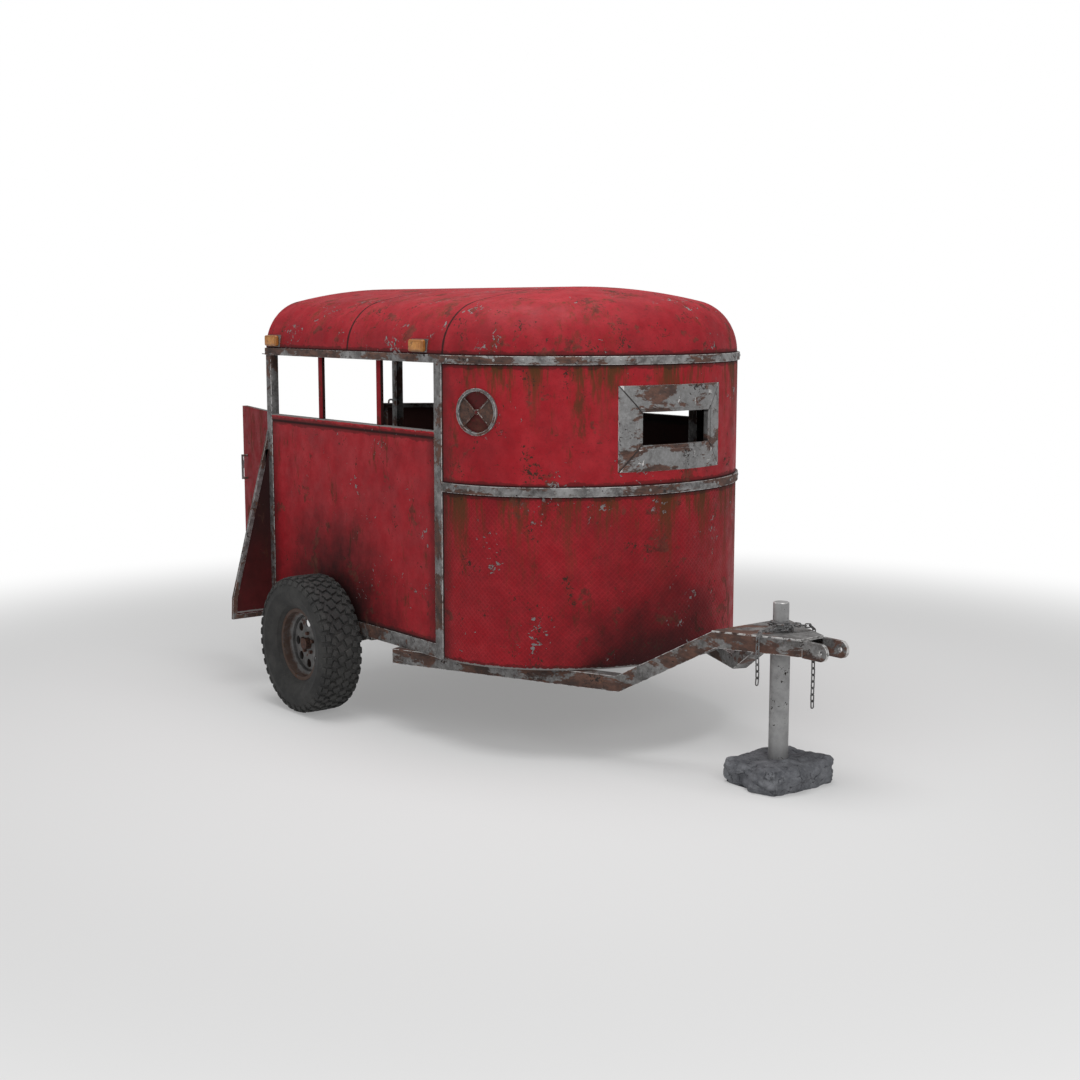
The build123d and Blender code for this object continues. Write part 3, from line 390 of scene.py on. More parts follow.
    def _grain(self) -> bpy.types.NodeTree:
        """Fine surface unevenness: a tone for colour and roughness, and a height."""
        tree, g, given, out = self._open(
            "surface_grain", {"Vector": "Vector", "Scale": "Float"}, {"Tone": "Float", "Height": "Float"})
        where, scale = given.outputs["Vector"], given.outputs["Scale"]
        broad = g.noise(where, g.maths("MULTIPLY", scale, 0.06), 5.0, 0.6)
        fine = g.noise(where, scale, 5.0, 0.65)
        g.feed(out.inputs["Tone"], g.step(broad, 0.3, 0.7))
        g.feed(out.inputs["Height"], fine)
        return tree

    def _inside(self) -> bpy.types.NodeTree:
        """Where a shell's surface faces back towards the middle of the body, for the painted shade inside.
        """
        tree, g, given, out = self._open(
            "inner_faces", {"Vector": "Vector", "Normal": "Vector", "Centre": "Vector"}, {"Mask": "Float"})
        ray = g.vectors("SUBTRACT", given.outputs["Vector"], given.outputs["Centre"])
        facing = g.vectors("DOT_PRODUCT", ray, given.outputs["Normal"])
        g.feed(out.inputs["Mask"], g.step(facing, -0.02, 0.0, 1.0, 0.0))
        return tree


# ---------------------------------------------------------------- finishes


class Finish:
    """A material under construction: its coordinates, colour, roughness, metal share and height."""

    def __init__(self, name: str, effects: Effects) -> None:
        """Start an empty material.

        Args:
            name: The material's name.
            effects: The shared wear and painted-shade effects.
        """
        self.material = bpy.data.materials.new(name)
        self.material.use_nodes = True
        self.material.node_tree.nodes.clear()
        self.effects = effects
        self.graph = Graph(self.material.node_tree)
        coordinates = self.graph.node("ShaderNodeTexCoord")
        self.where = coordinates.outputs["Object"]
        self.facing = coordinates.outputs["Normal"]
        self.colour: Value = (0.5, 0.5, 0.5)
        self.rough: Value = 0.6
        self.metal: Value = 0.0
        self.height: Value = 0.0

    def cover(self, mask: Value, colour: Value, rough: Value | None = None, metal: Value | None = None,
              strength: Value = 1.0) -> None:
        """Lay a colour over the surface where a mask is set.

        Args:
            mask: Where it lies.
            colour: Its colour.
            rough: Its roughness, if it changes.
            metal: Its metal share, if it changes.
            strength: How opaque it is.
        """
        graph = self.graph
        if strength != 1.0:
            mask = graph.maths("MULTIPLY", mask, strength)
        self.colour = graph.mix(mask, self.colour, colour)
        if rough is not None:
            self.rough = self._between(mask, self.rough, rough)
        if metal is not None:
            self.metal = self._between(mask, self.metal, metal)

    def placed(self, group: bpy.types.NodeTree, **given: Value) -> bpy.types.Node:
        """Place a shared effect that reads this surface's coordinates."""
        return self.graph.use(group, Vector=self.where, **given)

    def cloud(self, scale: float, detail: float, roughness: float, low: float, high: float,
              bottom: float = 0.0, top: float = 1.0, distortion: float = 0.0) -> bpy.types.NodeSocket:
        """Noise over the surface, stepped between two levels.

        Args:
            scale: Its fineness.
            detail: Its octaves.
            roughness: How strong the fine octaves are.
            low: Level where the step starts.
            high: Level where it ends.
            bottom: Result below the step.
            top: Result above it.
            distortion: How much it is warped.

        Returns:
            The stepped noise.
        """
        noise = self.graph.noise(self.where, scale, detail, roughness, distortion)
        return self.graph.step(noise, low, high, bottom, top)

    def torn(self, scale: float, detail: float, width: float) -> bpy.types.NodeSocket:
        """Uneven offset of up to a width, for edges that aren't straight."""
        return self.graph.maths("MULTIPLY", self.graph.noise(self.where, scale, detail, 0.7), width)

    def away(self, axis: int, place: float) -> bpy.types.NodeSocket:
        """Distance from a place along one axis."""
        graph = self.graph
        return graph.maths("ABSOLUTE", graph.maths("SUBTRACT", graph.split(self.where)[axis], place))

    def bevel_faces(self) -> bpy.types.NodeSocket:
        """Where a piece's rounded edges are."""
        return self.graph.node("ShaderNodeAttribute", attribute_name="bevel_faces").outputs["Fac"]

    def _between(self, mask: Value, first: Value, second: Value) -> bpy.types.NodeSocket:
        """Blend two numbers by a mask."""
        made = self.graph.node("ShaderNodeMix", data_type="FLOAT")
        for index, value in ((0, mask), (2, first), (3, second)):
            self.graph.feed(made.inputs[index], value)
        return made.outputs[0]

    def raise_by(self, height: Value, amount: float) -> None:
        """Add a share of a height to the surface."""
        self.height = self.graph.maths("ADD", self.height, self.graph.maths("MULTIPLY", height, amount))

    def rusted(self, scale: float, amount: float, strength: float = 1.0,
               stretch: Place = (1.0, 1.0, 1.0)) -> None:
        """Lay rust patches.

        Args:
            scale: Fineness of the patches.
            amount: How much of the surface they cover.
            strength: How opaque they are.
            stretch: How much finer the pattern is along each axis.
        """
        where = self.graph.vectors("MULTIPLY", self.where, stretch)
        rust = self.graph.use(self.effects.rust, Vector=where, Scale=scale, Amount=amount)
        self.cover(rust.outputs["Mask"], rust.outputs["Colour"], 0.85, 0.0, strength)
        self.raise_by(rust.outputs["Height"], 0.5)

    def finish(self, depth: float = 0.002, gloss: float = 0.5) -> bpy.types.Material:
        """Join everything to the shader.

        Args:
            depth: Distance of the bump.
            gloss: Strength of the plain reflections.

        Returns:
            The material.
        """
        graph = self.graph
        shader = graph.node("ShaderNodeBsdfPrincipled")
        shader.inputs["Specular IOR Level"].default_value = gloss
        graph.feed(shader.inputs["Base Color"], self.colour)
        graph.feed(shader.inputs["Roughness"], self.rough)
        graph.feed(shader.inputs["Metallic"], self.metal)
        bump = graph.node("ShaderNodeBump")
        bump.inputs["Distance"].default_value = depth
        graph.feed(bump.inputs["Height"], self.height)
        graph.feed(shader.inputs["Normal"], bump.outputs["Normal"])
        output = graph.node("ShaderNodeOutputMaterial")
        graph.feed(output.inputs["Surface"], shader.outputs["BSDF"])
        return self.material


@dataclass(frozen=True)
class Streak:
    """Stains below one level: where they start, how far they run and how dense they are."""

    top: float
    length: float
    amount: float


@dataclass(frozen=True)
class Haze:
    """A sooty place, partly painted shade: its middle, reach and strength."""

    centre: Place
    radius: float
    strength: float


@dataclass(frozen=True)
class Recipe:
    """A finish that can be made into a material: its name and the strength of its plain reflections."""

    DEPTH: ClassVar[float] = 0.0012

    name: str
    gloss: float = 0.5

    def dress(self, look: Finish) -> None:
        """Lay the finish."""
        raise NotImplementedError

    def build(self, effects: Effects) -> bpy.types.Material:
        """Make the material.

        Args:
            effects: The shared wear and painted-shade effects.

        Returns:
            The material.
        """
        look = Finish(self.name, effects)
        self.dress(look)
        return look.finish(self.DEPTH, self.gloss)


@dataclass(frozen=True)
class RedPaint(Recipe):
    """Faded red paint with stains, chips and rubbed edges, and sooty hazes, grime and inside faces that
    carry painted shade.
    """

    DEPTH: ClassVar[float] = 0.0016
    fresh: Colour = (0.325, 0.011, 0.018)
    faded: Colour = (0.385, 0.021, 0.029)
    rust: float = 0.35
    rust_scale: float = 5.0
    chips: float = 0.5
    streaks: tuple[Streak, ...] = ()
    hazes: tuple[Haze, ...] = ()
    rubbed: tuple[float, ...] = ()
    rub_width: float = 0.012
    grime_shade_levels: tuple[float, ...] = ()
    seams: tuple[float, ...] = ()
    edge_grime_shade: float = 0.6
    emboss: float = 0.0
    emboss_depth: float = 0.35
    shaded_inside: bool = True
    stains: float = 0.8
    gloss: float = 0.13

    def _diamonds(self, look: Finish) -> bpy.types.NodeSocket:
        """Height of a fine diamond emboss that runs round the rounded front.

        Args:
            look: The finish under construction.

        Returns:
            The height, from 0 to 1.
        """
        graph = look.graph
        low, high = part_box("nose_lower_panel")
        depth, half = high.x - low.x, (high.y - low.y) / 2
        x, y, z = graph.split(look.where)
        ahead = graph.maths("DIVIDE", graph.maths("SUBTRACT", x, low.x), depth)
        turn = graph.maths("ARCTAN2", graph.maths("DIVIDE", y, half), ahead)
        around = graph.maths("MULTIPLY", turn, (depth + half) / 2)
        waves = []
        for sign in (1.0, -1.0):
            along = graph.maths("ADD", around, graph.maths("MULTIPLY", z, sign))
            waves.append(graph.maths("SINE", graph.maths("MULTIPLY", along, math.tau / self.emboss)))
        crossed = graph.maths("MAXIMUM", *waves)
        return graph.step(crossed, 0.45, 0.95)

    def _tone(self, look: Finish) -> None:
        """Lay the paint itself, uneven and faded, with its emboss and painted shade in the emboss hollows.
        """
        graph = look.graph
        grain = look.placed(look.effects.grain, Scale=160.0)
        look.colour = graph.mix(grain.outputs["Tone"], self.fresh, self.faded)
        look.cover(look.cloud(3.1, 9.0, 0.75, 0.42, 0.70), Tint.BLOTCH, strength=0.45)
        look.cover(look.cloud(75.0, 4.0, 0.75, 0.50, 0.72), Tint.MOTTLE, strength=0.40)
        look.rough = look.cloud(9.0, 5.0, 0.7, 0.3, 0.7, 0.45, 0.68)
        smudge = graph.noise(graph.vectors("MULTIPLY", look.where, (1.0, 1.0, 0.35)), 6.5, 9.0, 0.78)
        look.cover(graph.step(smudge, 0.545, 0.66, 0.0, self.stains), Tint.SMUDGE, 0.8)
        look.raise_by(grain.outputs["Height"], 0.10)
        look.raise_by(graph.noise(look.where, 1.7, 2.0, 0.5), 4.0)
        if self.emboss:
            diamonds = self._diamonds(look)
            look.raise_by(diamonds, self.emboss_depth)
            # The emboss hollows are painted darker red: painted shade in the recesses.
            look.cover(graph.maths("SUBTRACT", 1.0, diamonds), Tint.HOLLOW_SHADE, strength=0.30)

    def _soil(self, look: Finish) -> None:
        """Lay drips, sooty hazes and the grime beside bands, where the hazes and grime are partly painted
        shade.
        """
        effects, graph = look.effects, look.graph
        for streak in self.streaks:
            drip = look.placed(effects.streaks, Top=streak.top, Length=streak.length,
                               Amount=streak.amount)
            look.cover(drip.outputs["Mask"], Tint.DRIP, 0.8, strength=0.95)
        for haze in self.hazes:
            # Dark haze round each given place: part soot, part painted shade near the wheels and the nose's
            # lower corner.
            soot_shade = look.placed(effects.soot_shade, Centre=haze.centre, Radius=haze.radius)
            look.cover(soot_shade.outputs["Mask"], Tint.SOOT_SHADE, 0.75, strength=haze.strength)
        for level in self.grime_shade_levels:
            # Darker band beside each level: grime and painted shade where the panel meets a band; the thin
            # line right at the level is the dark joint.
            edge = look.placed(effects.level, Level=level, Width=0.052, Breaks=14.0)
            look.cover(edge.outputs["Mask"], Tint.GRIME_SHADE, 0.8, strength=0.55)
            look.cover(graph.step(look.away(2, level), 0.003, 0.013, 0.85, 0.0), Tint.CREVICE, 0.85)

    def _flake(self, look: Finish) -> None:
        """Lay rust, dark specks, chips and rubbed edges."""
        effects = look.effects
        look.rusted(self.rust_scale, self.rust, 0.62)
        speck = look.placed(effects.chips, Scale=64.0, Amount=self.chips * 1.25)
        look.cover(speck.outputs["Mask"], Tint.SPECK, 0.8)
        chip = look.placed(effects.chips, Scale=34.0, Amount=self.chips)
        look.cover(chip.outputs["Rim"], Tint.CHIP_RIM, strength=0.8)
        look.cover(chip.outputs["Mask"], Tint.CHIP, 0.7)
        look.raise_by(chip.outputs["Mask"], -0.4)
        for level in self.rubbed:
            edge = look.placed(effects.level, Level=level, Width=self.rub_width, Breaks=46.0)
            look.cover(edge.outputs["Mask"], Tint.RUBBED, 0.65)
            look.raise_by(edge.outputs["Mask"], -0.3)

    def _seam(self, look: Finish, place: float) -> None:
        """Lay one dark upright seam, with the grime and painted shade that gather along it."""
        graph = look.graph
        away = look.away(0, place)
        torn = look.torn(30.0, 5.0, 0.016)
        line = graph.step(graph.maths("SUBTRACT", away, torn), -0.003, 0.004, 1.0, 0.0)
        look.cover(line, Tint.SEAM, 0.85, strength=0.9)
        # Darker cloud beside the seam: grime and painted shade along the trims.
        cloud = look.torn(7.0, 6.0, 0.12)
        near = graph.step(graph.maths("SUBTRACT", away, cloud), -0.06, 0.05, self.edge_grime_shade, 0.0)
        look.cover(near, Tint.EDGE_GRIME_SHADE, 0.75)

    def dress(self, look: Finish) -> None:
        """Lay the finish."""
        self._tone(look)
        self._soil(look)
        self._flake(look)
        for place in self.seams:
            self._seam(look, place)
        if self.shaded_inside:
            # Faces that look back into the body are painted near black: painted shade inside the trailer.
            shaded_inside = look.placed(look.effects.inside, Normal=look.facing, Centre=CABIN_MIDDLE)
            look.cover(shaded_inside.outputs["Mask"], Tint.INTERIOR_SHADE, 0.85, strength=0.93)


@dataclass(frozen=True)
class GreySteel(Recipe):
    """Weathered galvanised steel with pits, dirt, rust patches and bright corners that are partly rubbed
    bare, partly painted highlight.
    """

    bare: Colour = (0.235, 0.232, 0.230)
    dull: Colour = (0.085, 0.080, 0.078)
    rust: float = 0.62
    rust_scale: float = 5.0
    stretch: Place = (1.0, 1.0, 1.0)
    metal: float = 0.35
    dark: float = 0.55
    pits: float = 0.85
    mitres: tuple[Place, Place, float, float] | None = None

    def dress(self, look: Finish) -> None:
        """Lay the finish."""
        graph = look.graph
        grain = look.placed(look.effects.grain, Scale=220.0)
        look.colour = graph.mix(grain.outputs["Tone"], self.dull, self.bare)
        look.metal = self.metal
        look.rough = look.cloud(22.0, 5.0, 0.7, 0.3, 0.7, 0.38, 0.68)
        look.raise_by(grain.outputs["Height"], 0.25)
        look.cover(look.cloud(60.0, 5.0, 0.75, 0.47, 0.60), Tint.ZINC, strength=0.38)
        dirt = look.cloud(9.0, 8.0, 0.72, 0.50, 0.66, distortion=0.3)
        look.cover(dirt, Tint.OIL, 0.8, 0.0, self.dark)
        look.rusted(self.rust_scale, self.rust, 0.95, self.stretch)
        pits = look.placed(look.effects.chips, Scale=55.0, Amount=self.pits)
        look.cover(pits.outputs["Mask"], Tint.PIT, 0.9, 0.0)
        look.raise_by(pits.outputs["Mask"], -0.6)
        # Rounded edges painted pale steel: rubbed bare metal and painted highlight.
        ragged = look.cloud(30.0, 4.0, 0.7, 0.40, 0.55)
        look.cover(graph.maths("MULTIPLY", look.bevel_faces(), ragged), Tint.BARE_AND_GLINT_STEEL, 0.40, 0.45)
        if self.mitres is not None:
            look.cover(self._mitres(look, *self.mitres), Tint.MITRE, 0.85, 0.0)

    @staticmethod
    def _mitres(look: Finish, low: Place, high: Place, rise: float, inset: float) -> bpy.types.NodeSocket:
        """Dark lines across the mitred corners of a frame that faces forwards.

        Args:
            look: The finish under construction.
            low: Lowest corner of the frame.
            high: Highest corner of the frame.
            rise: Height of its sloping strips.
            inset: Width of its upright strips.

        Returns:
            Where the lines are.
        """
        graph = look.graph
        inward = []
        for axis, reach in ((1, inset), (2, rise)):
            middle, half = (low[axis] + high[axis]) / 2, (high[axis] - low[axis]) / 2
            away = look.away(axis, middle)
            inward.append(graph.maths("DIVIDE", graph.maths("SUBTRACT", half, away), reach))
        line = graph.maths("ABSOLUTE", graph.maths("SUBTRACT", *inward))
        return graph.step(line, 0.02, 0.06, 0.95, 0.0)


@dataclass(frozen=True)
class RustySteel(Recipe):
    """Steel that is brown with rust nearly all over, with a trace of old paint or grey metal."""

    trace: Colour = (0.11, 0.10, 0.10)
    darker: float = 0.55
    share: float = 1.0
    ring: tuple[Place, float] | None = None

    def dress(self, look: Finish) -> None:
        """Lay the finish."""
        graph = look.graph
        look.colour = graph.mix(look.cloud(14.0, 6.0, 0.7, 0.35, 0.65), self.trace,
                                tuple(self.darker * part for part in self.trace))
        look.metal = 0.2
        look.rough = 0.6
        look.rusted(9.0, self.share, 0.95)
        if self.ring is not None:
            centre, radius = self.ring
            away = graph.vectors("DISTANCE", graph.vectors("MULTIPLY", look.where, (1.0, 0.0, 1.0)),
                                 (centre[0], 0.0, centre[2]))
            torn = look.torn(24.0, 6.0, 0.05)
            lip = graph.step(graph.maths("ADD", away, torn), radius, radius + 0.02)
            look.cover(lip, Tint.RUST_LIP, 0.85, strength=0.8)
        grain = look.placed(look.effects.grain, Scale=260.0)
        look.raise_by(grain.outputs["Height"], 0.5)


@dataclass(frozen=True)
class TyreRubber(Recipe):
    """Matt black rubber with dust in its hollows."""

    DEPTH: ClassVar[float] = 0.0008

    def dress(self, look: Finish) -> None:
        """Lay the finish."""
        look.colour = look.graph.mix(look.cloud(7.0, 6.0, 0.7, 0.35, 0.7), Tint.RUBBER_DARK,
                                     Tint.RUBBER_PALE)
        look.rough = 0.82
        look.cover(look.cloud(60.0, 5.0, 0.75, 0.56, 0.74), Tint.DUST, strength=0.4)
        grain = look.placed(look.effects.grain, Scale=420.0)
        look.raise_by(grain.outputs["Height"], 0.5)


@dataclass(frozen=True)
class Rock(Recipe):
    """Rough blue-grey stone with paler faces and dark cracks."""

    DEPTH: ClassVar[float] = 0.004

    def dress(self, look: Finish) -> None:
        """Lay the finish."""
        graph = look.graph
        look.colour = graph.mix(look.cloud(11.0, 8.0, 0.7, 0.32, 0.7), Tint.ROCK_DARK, Tint.ROCK_PALE)
        look.rough = 0.9
        look.cover(look.cloud(120.0, 4.0, 0.8, 0.55, 0.7), Tint.ROCK_SALT, strength=0.5)
        cracks = graph.node("ShaderNodeTexVoronoi", feature="DISTANCE_TO_EDGE")
        warp = graph.noise(look.where, 9.0, 4.0, 0.6)
        graph.feed(cracks.inputs["Vector"], graph.vectors("ADD", look.where, graph.vectors(
            "MULTIPLY", warp, (0.12, 0.12, 0.12))))
        cracks.inputs["Scale"].default_value = 16.0
        line = graph.step(cracks.outputs["Distance"], 0.0, 0.05, 1.0, 0.0)
        mask = graph.maths("MULTIPLY", line, look.cloud(20.0, 5.0, 0.7, 0.45, 0.6))
        look.cover(mask, Tint.ROCK_CRACK, strength=0.8)
        look.raise_by(mask, -1.2)
        look.raise_by(graph.noise(look.where, 70.0, 8.0, 0.75), 2.0)


@dataclass(frozen=True)
class Planks(Recipe):
    """Weathered floor boards, grain along the trailer."""

    DEPTH: ClassVar[float] = 0.0015

    def dress(self, look: Finish) -> None:
        """Lay the finish."""
        graph = look.graph
        along = graph.vectors("MULTIPLY", look.where, (0.05, 1.0, 1.0))
        fibre = graph.noise(along, 130.0, 6.0, 0.7, 0.6)
        look.colour = graph.mix(graph.step(fibre, 0.3, 0.7), Tint.PLANK_DARK, Tint.PLANK_PALE)
        look.cover(look.cloud(4.0, 7.0, 0.7, 0.42, 0.66), Tint.PLANK_STAIN, strength=0.7)
        look.rough = 0.85
        look.raise_by(fibre, 1.0)


@dataclass(frozen=True)
class AmberLens(Recipe):
    """Aged amber moulded lens with fine ribs and dirt at its edges."""

    DEPTH: ClassVar[float] = 0.0008
    rib_pitch: float = 0.008

    def dress(self, look: Finish) -> None:
        """Lay the finish."""
        graph = look.graph
        look.colour = graph.mix(look.cloud(26.0, 5.0, 0.7, 0.35, 0.7), Tint.AMBER_DEEP, Tint.AMBER_PALE)
        look.rough = 0.32
        turns = graph.maths("MULTIPLY", graph.split(look.where)[0], math.tau / self.rib_pitch)
        ribs = graph.maths("SINE", turns)
        look.raise_by(ribs, 0.3)
        look.cover(look.cloud(34.0, 7.0, 0.75, 0.52, 0.66), Tint.AMBER_GRIME, 0.8, strength=0.6)
        look.cover(look.bevel_faces(), Tint.AMBER_RIM, 0.5, strength=0.55)


# ---------------------------------------------------------------- modelling


class Modeller:
    """Small steps of hand modelling with Blender's operators."""

    @staticmethod
    def only(piece: bpy.types.Object) -> None:
        """Select one object and make it active."""
        bpy.ops.object.select_all(action="DESELECT")
        piece.select_set(True)
        bpy.context.view_layer.objects.active = piece

    @classmethod
    def added(cls, name: str) -> bpy.types.Object:
        """Name the primitive that was just added and make it the only one selected."""
        piece = bpy.context.object
        piece.name = piece.data.name = name
        cls.only(piece)
        return piece

    @classmethod
    def settle(cls, piece: bpy.types.Object) -> None:
        """Move an object's place into its mesh."""
        piece.data.transform(piece.matrix_basis)
        piece.matrix_basis = Matrix.Identity(4)

    @classmethod
    def join(cls, pieces: list[bpy.types.Object], name: str) -> bpy.types.Object:
        """Join several objects into one.

        Args:
            pieces: The objects, the first of which stays.
            name: The joined object's name.

        Returns:
            The joined object.
        """
        cls.only(pieces[0])
        for piece in pieces[1:]:
            piece.select_set(True)
        bpy.ops.object.join()
        return cls.added(name)

    @staticmethod
    def turned_copy(piece: bpy.types.Object, move: Matrix) -> bpy.types.Object:
        """Copy an object with its own mesh.

        Args:
            piece: The object.
            move: Where the copy's mesh goes.

        Returns:
            The copy.
        """
        made = bpy.data.objects.new(piece.name, piece.data.copy())
        made.data.transform(move)
        bpy.context.scene.collection.objects.link(made)
        return made

    @classmethod
    def smooth(cls, piece: bpy.types.Object, angle: float = 32.0) -> None:
        """Shade smooth below an angle in degrees."""
        cls.only(piece)
        bpy.ops.object.shade_smooth_by_angle(angle=math.radians(angle))

    @classmethod
    def refined(cls, node: str, edge: float, crease: float = 40.0) -> bpy.types.Object:
        """Copy a CAD node, merge its triangles and round its sharp edges.

        Args:
            node: The CAD node.
            edge: Width of the rounding, in metres.
            crease: Angle above which an edge is rounded, in degrees.

        Returns:
            The copy, with its rounded faces marked in the attribute "worn".
        """
        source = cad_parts[node]
        piece = bpy.data.objects.new(f"{node}_finished", source.data.copy())
        bpy.context.scene.collection.objects.link(piece)
        cls.only(piece)
        if piece.data.has_custom_normals:
            bpy.ops.mesh.customdata_custom_splitnormals_clear()
        bpy.ops.object.mode_set(mode="EDIT")
        bpy.ops.mesh.select_mode(type="EDGE")
        bpy.ops.mesh.select_all(action="SELECT")
        bpy.ops.mesh.remove_doubles(threshold=0.00002)
        bpy.ops.mesh.dissolve_limited(angle_limit=math.radians(0.4))
        bpy.ops.mesh.select_all(action="DESELECT")
        if edge > 0:
            bpy.ops.mesh.edges_select_sharp(sharpness=math.radians(crease))
            bpy.ops.mesh.bevel(offset=edge, segments=2, affect="EDGES", clamp_overlap=True)
        bpy.ops.object.mode_set(mode="OBJECT")
        bevel_faces = piece.data.attributes.new("bevel_faces", "FLOAT", "FACE")
        for face, value in zip(piece.data.polygons, bevel_faces.data):
            outline = sum((piece.data.vertices[a].co - piece.data.vertices[b].co).length
                          for a, b in face.edge_keys)
            value.value = 1.0 if 2.0 * face.area < 1.3 * edge * outline else 0.0
        cls.smooth(piece, min(crease, 32.0))
        return piece


@dataclass
class Tyre:
    """Off-road tyre: a carcass swept from its section, with blocky lugs round the crown."""

    node: str
    body: Body
    outboard: float
    pitches: int = 38
    lug_depth: float = 0.013
    segments: int = 114
    section: tuple[tuple[float, float], ...] = (
        (0.1930, -0.064), (0.2060, -0.067), (0.2130, -0.078), (0.2210, -0.086), (0.2240, -0.094),
        (0.2400, -0.106), (0.2700, -0.1205), (0.3000, -0.1255), (0.3040, -0.1275), (0.3120, -0.1275),
        (0.3160, -0.1255), (0.3400, -0.1225), (0.3620, -0.1150), (0.3740, -0.1030), (0.3790, -0.0900),
        (0.3805, -0.0600), (0.3808, 0.0))
    lining: tuple[tuple[float, float], ...] = (
        (0.1930, 0.052), (0.2150, 0.062), (0.2900, 0.108), (0.3550, 0.098), (0.3660, 0.0))

    def _carcass(self, centre: Vector) -> bpy.types.Object:
        """Sweep the section round the wheel's middle by extruding and scaling one ring.

        Args:
            centre: The wheel's middle.

        Returns:
            The carcass.
        """
        mirrored = [(radius, -y) for radius, y in reversed(self.section[:-1])]
        inside = [*self.lining, *[(radius, -y) for radius, y in reversed(self.lining[:-1])]]
        rings = [*self.section, *mirrored, *inside]
        radius, y = rings[0]
        bpy.ops.object.select_all(action="DESELECT")
        bpy.ops.mesh.primitive_circle_add(
            vertices=self.segments, radius=radius, location=centre + Vector((0, y, 0)),
            rotation=(math.pi / 2, 0, 0))
        piece = Modeller.added(f"{self.node}_carcass")
        Modeller.settle(piece)
        bpy.ops.object.mode_set(mode="EDIT")
        bpy.ops.mesh.select_mode(type="VERT")
        bpy.ops.mesh.select_all(action="SELECT")
        for next_radius, next_y in rings[1:]:
            bpy.ops.mesh.extrude_region_move(TRANSFORM_OT_translate={"value": (0, next_y - y, 0)})
            grow = next_radius / radius
            bpy.ops.transform.resize(value=(grow, 1, grow), center_override=centre)
            radius, y = next_radius, next_y
        bpy.ops.mesh.select_all(action="DESELECT")
        bpy.ops.mesh.select_mode(type="EDGE")
        bpy.ops.mesh.select_non_manifold()
        bpy.ops.mesh.bridge_edge_loops()
        bpy.ops.mesh.select_all(action="SELECT")
        bpy.ops.mesh.normals_make_consistent(inside=False)
        bpy.ops.object.mode_set(mode="OBJECT")
        return piece

    def _lug(self, name: str, size: Place, place: Place, skew: float, lean: float) -> bpy.types.Object:
        """One tapered and bevelled tread block about the origin's Y axis.

        Args:
            name: The block's name.
            size: Its length round the tyre, width and depth.
            place: Its offset round the tyre, across it, and its top's radius.
            skew: Turn about its own radius, in degrees.
            lean: Tilt across the tyre, in degrees.

        Returns:
            The block.
        """
        bpy.ops.object.select_all(action="DESELECT")
        bpy.ops.mesh.primitive_cube_add(size=1.0, location=(0, 0, -size[2] / 2), scale=size)
        piece = Modeller.added(name)
        Modeller.settle(piece)
        bpy.ops.object.mode_set(mode="EDIT")
        bpy.ops.mesh.select_mode(type="FACE")
        bpy.ops.mesh.select_all(action="DESELECT")
        bpy.ops.object.mode_set(mode="OBJECT")
        for face in piece.data.polygons:
            face.select = face.normal.z > 0.9
        bpy.ops.object.mode_set(mode="EDIT")
        bpy.ops.transform.resize(value=(0.86, 0.88, 1.0), center_override=(0, 0, 0))
        bpy.ops.mesh.bevel(offset=0.0022, segments=1, affect="EDGES")
        bpy.ops.object.mode_set(mode="OBJECT")
        tilt = Matrix.Rotation(math.radians(lean), 4, "X") @ Matrix.Rotation(math.radians(skew), 4, "Z")
        around = Matrix.Rotation(place[0] / place[2], 4, "Y")
        piece.data.transform(around @ Matrix.Translation((0, place[1], place[2])) @ tilt)
        return piece

    def _pitch(self) -> bpy.types.Object:
        """The blocks of one pitch of the tread, at the top of the tyre.

        Returns:
            The joined blocks.
        """
        crown = 0.3926
        blocks = [
            self._lug("lug", (0.043, 0.042, 0.016), (0.000, -0.024, crown), 24.0, 0.0),
            self._lug("lug", (0.043, 0.042, 0.016), (0.028, 0.024, crown), 24.0, 0.0),
            self._lug("lug", (0.038, 0.030, 0.016), (0.020, -0.066, crown - 0.0006), -20.0, 2.0),
            self._lug("lug", (0.038, 0.030, 0.016), (0.050, 0.066, crown - 0.0006), -20.0, -2.0),
        ]
        for side, slip in ((-1, -0.004), (1, 0.026)):
            blocks.append(self._lug("lug", (0.040, 0.030, 0.022), (slip, side * 0.0985, crown - 0.0045),
                                    0.0, -side * 19.0))
            blocks.append(self._lug("lug", (0.037, 0.028, 0.012), (slip, side * 0.1218, 0.3640),
                                    0.0, -side * 66.0))
        return Modeller.join(blocks, "tread_pitch")

    def build(self, finish: bpy.types.Material) -> bpy.types.Object:
        """Make the tyre and put it in the CAD tyre's place.

        Args:
            finish: The rubber.

        Returns:
            The tyre.
        """
        low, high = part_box(self.node)
        centre = (low + high) / 2
        carcass = self._carcass(centre)
        pitch = self._pitch()
        parts = [carcass]
        for index in range(self.pitches):
            turn = Matrix.Rotation(math.tau * index / self.pitches * self.outboard, 4, "Y")
            parts.append(Modeller.turned_copy(pitch, Matrix.Translation(centre) @ turn))
        bpy.data.objects.remove(pitch)
        piece = Modeller.join(parts, f"{self.node}_tread")
        piece.data.materials.clear()
        piece.data.materials.append(finish)
        Modeller.smooth(piece, 30.0)
        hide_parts(self.node)
        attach(piece, self.body.value)
        return piece


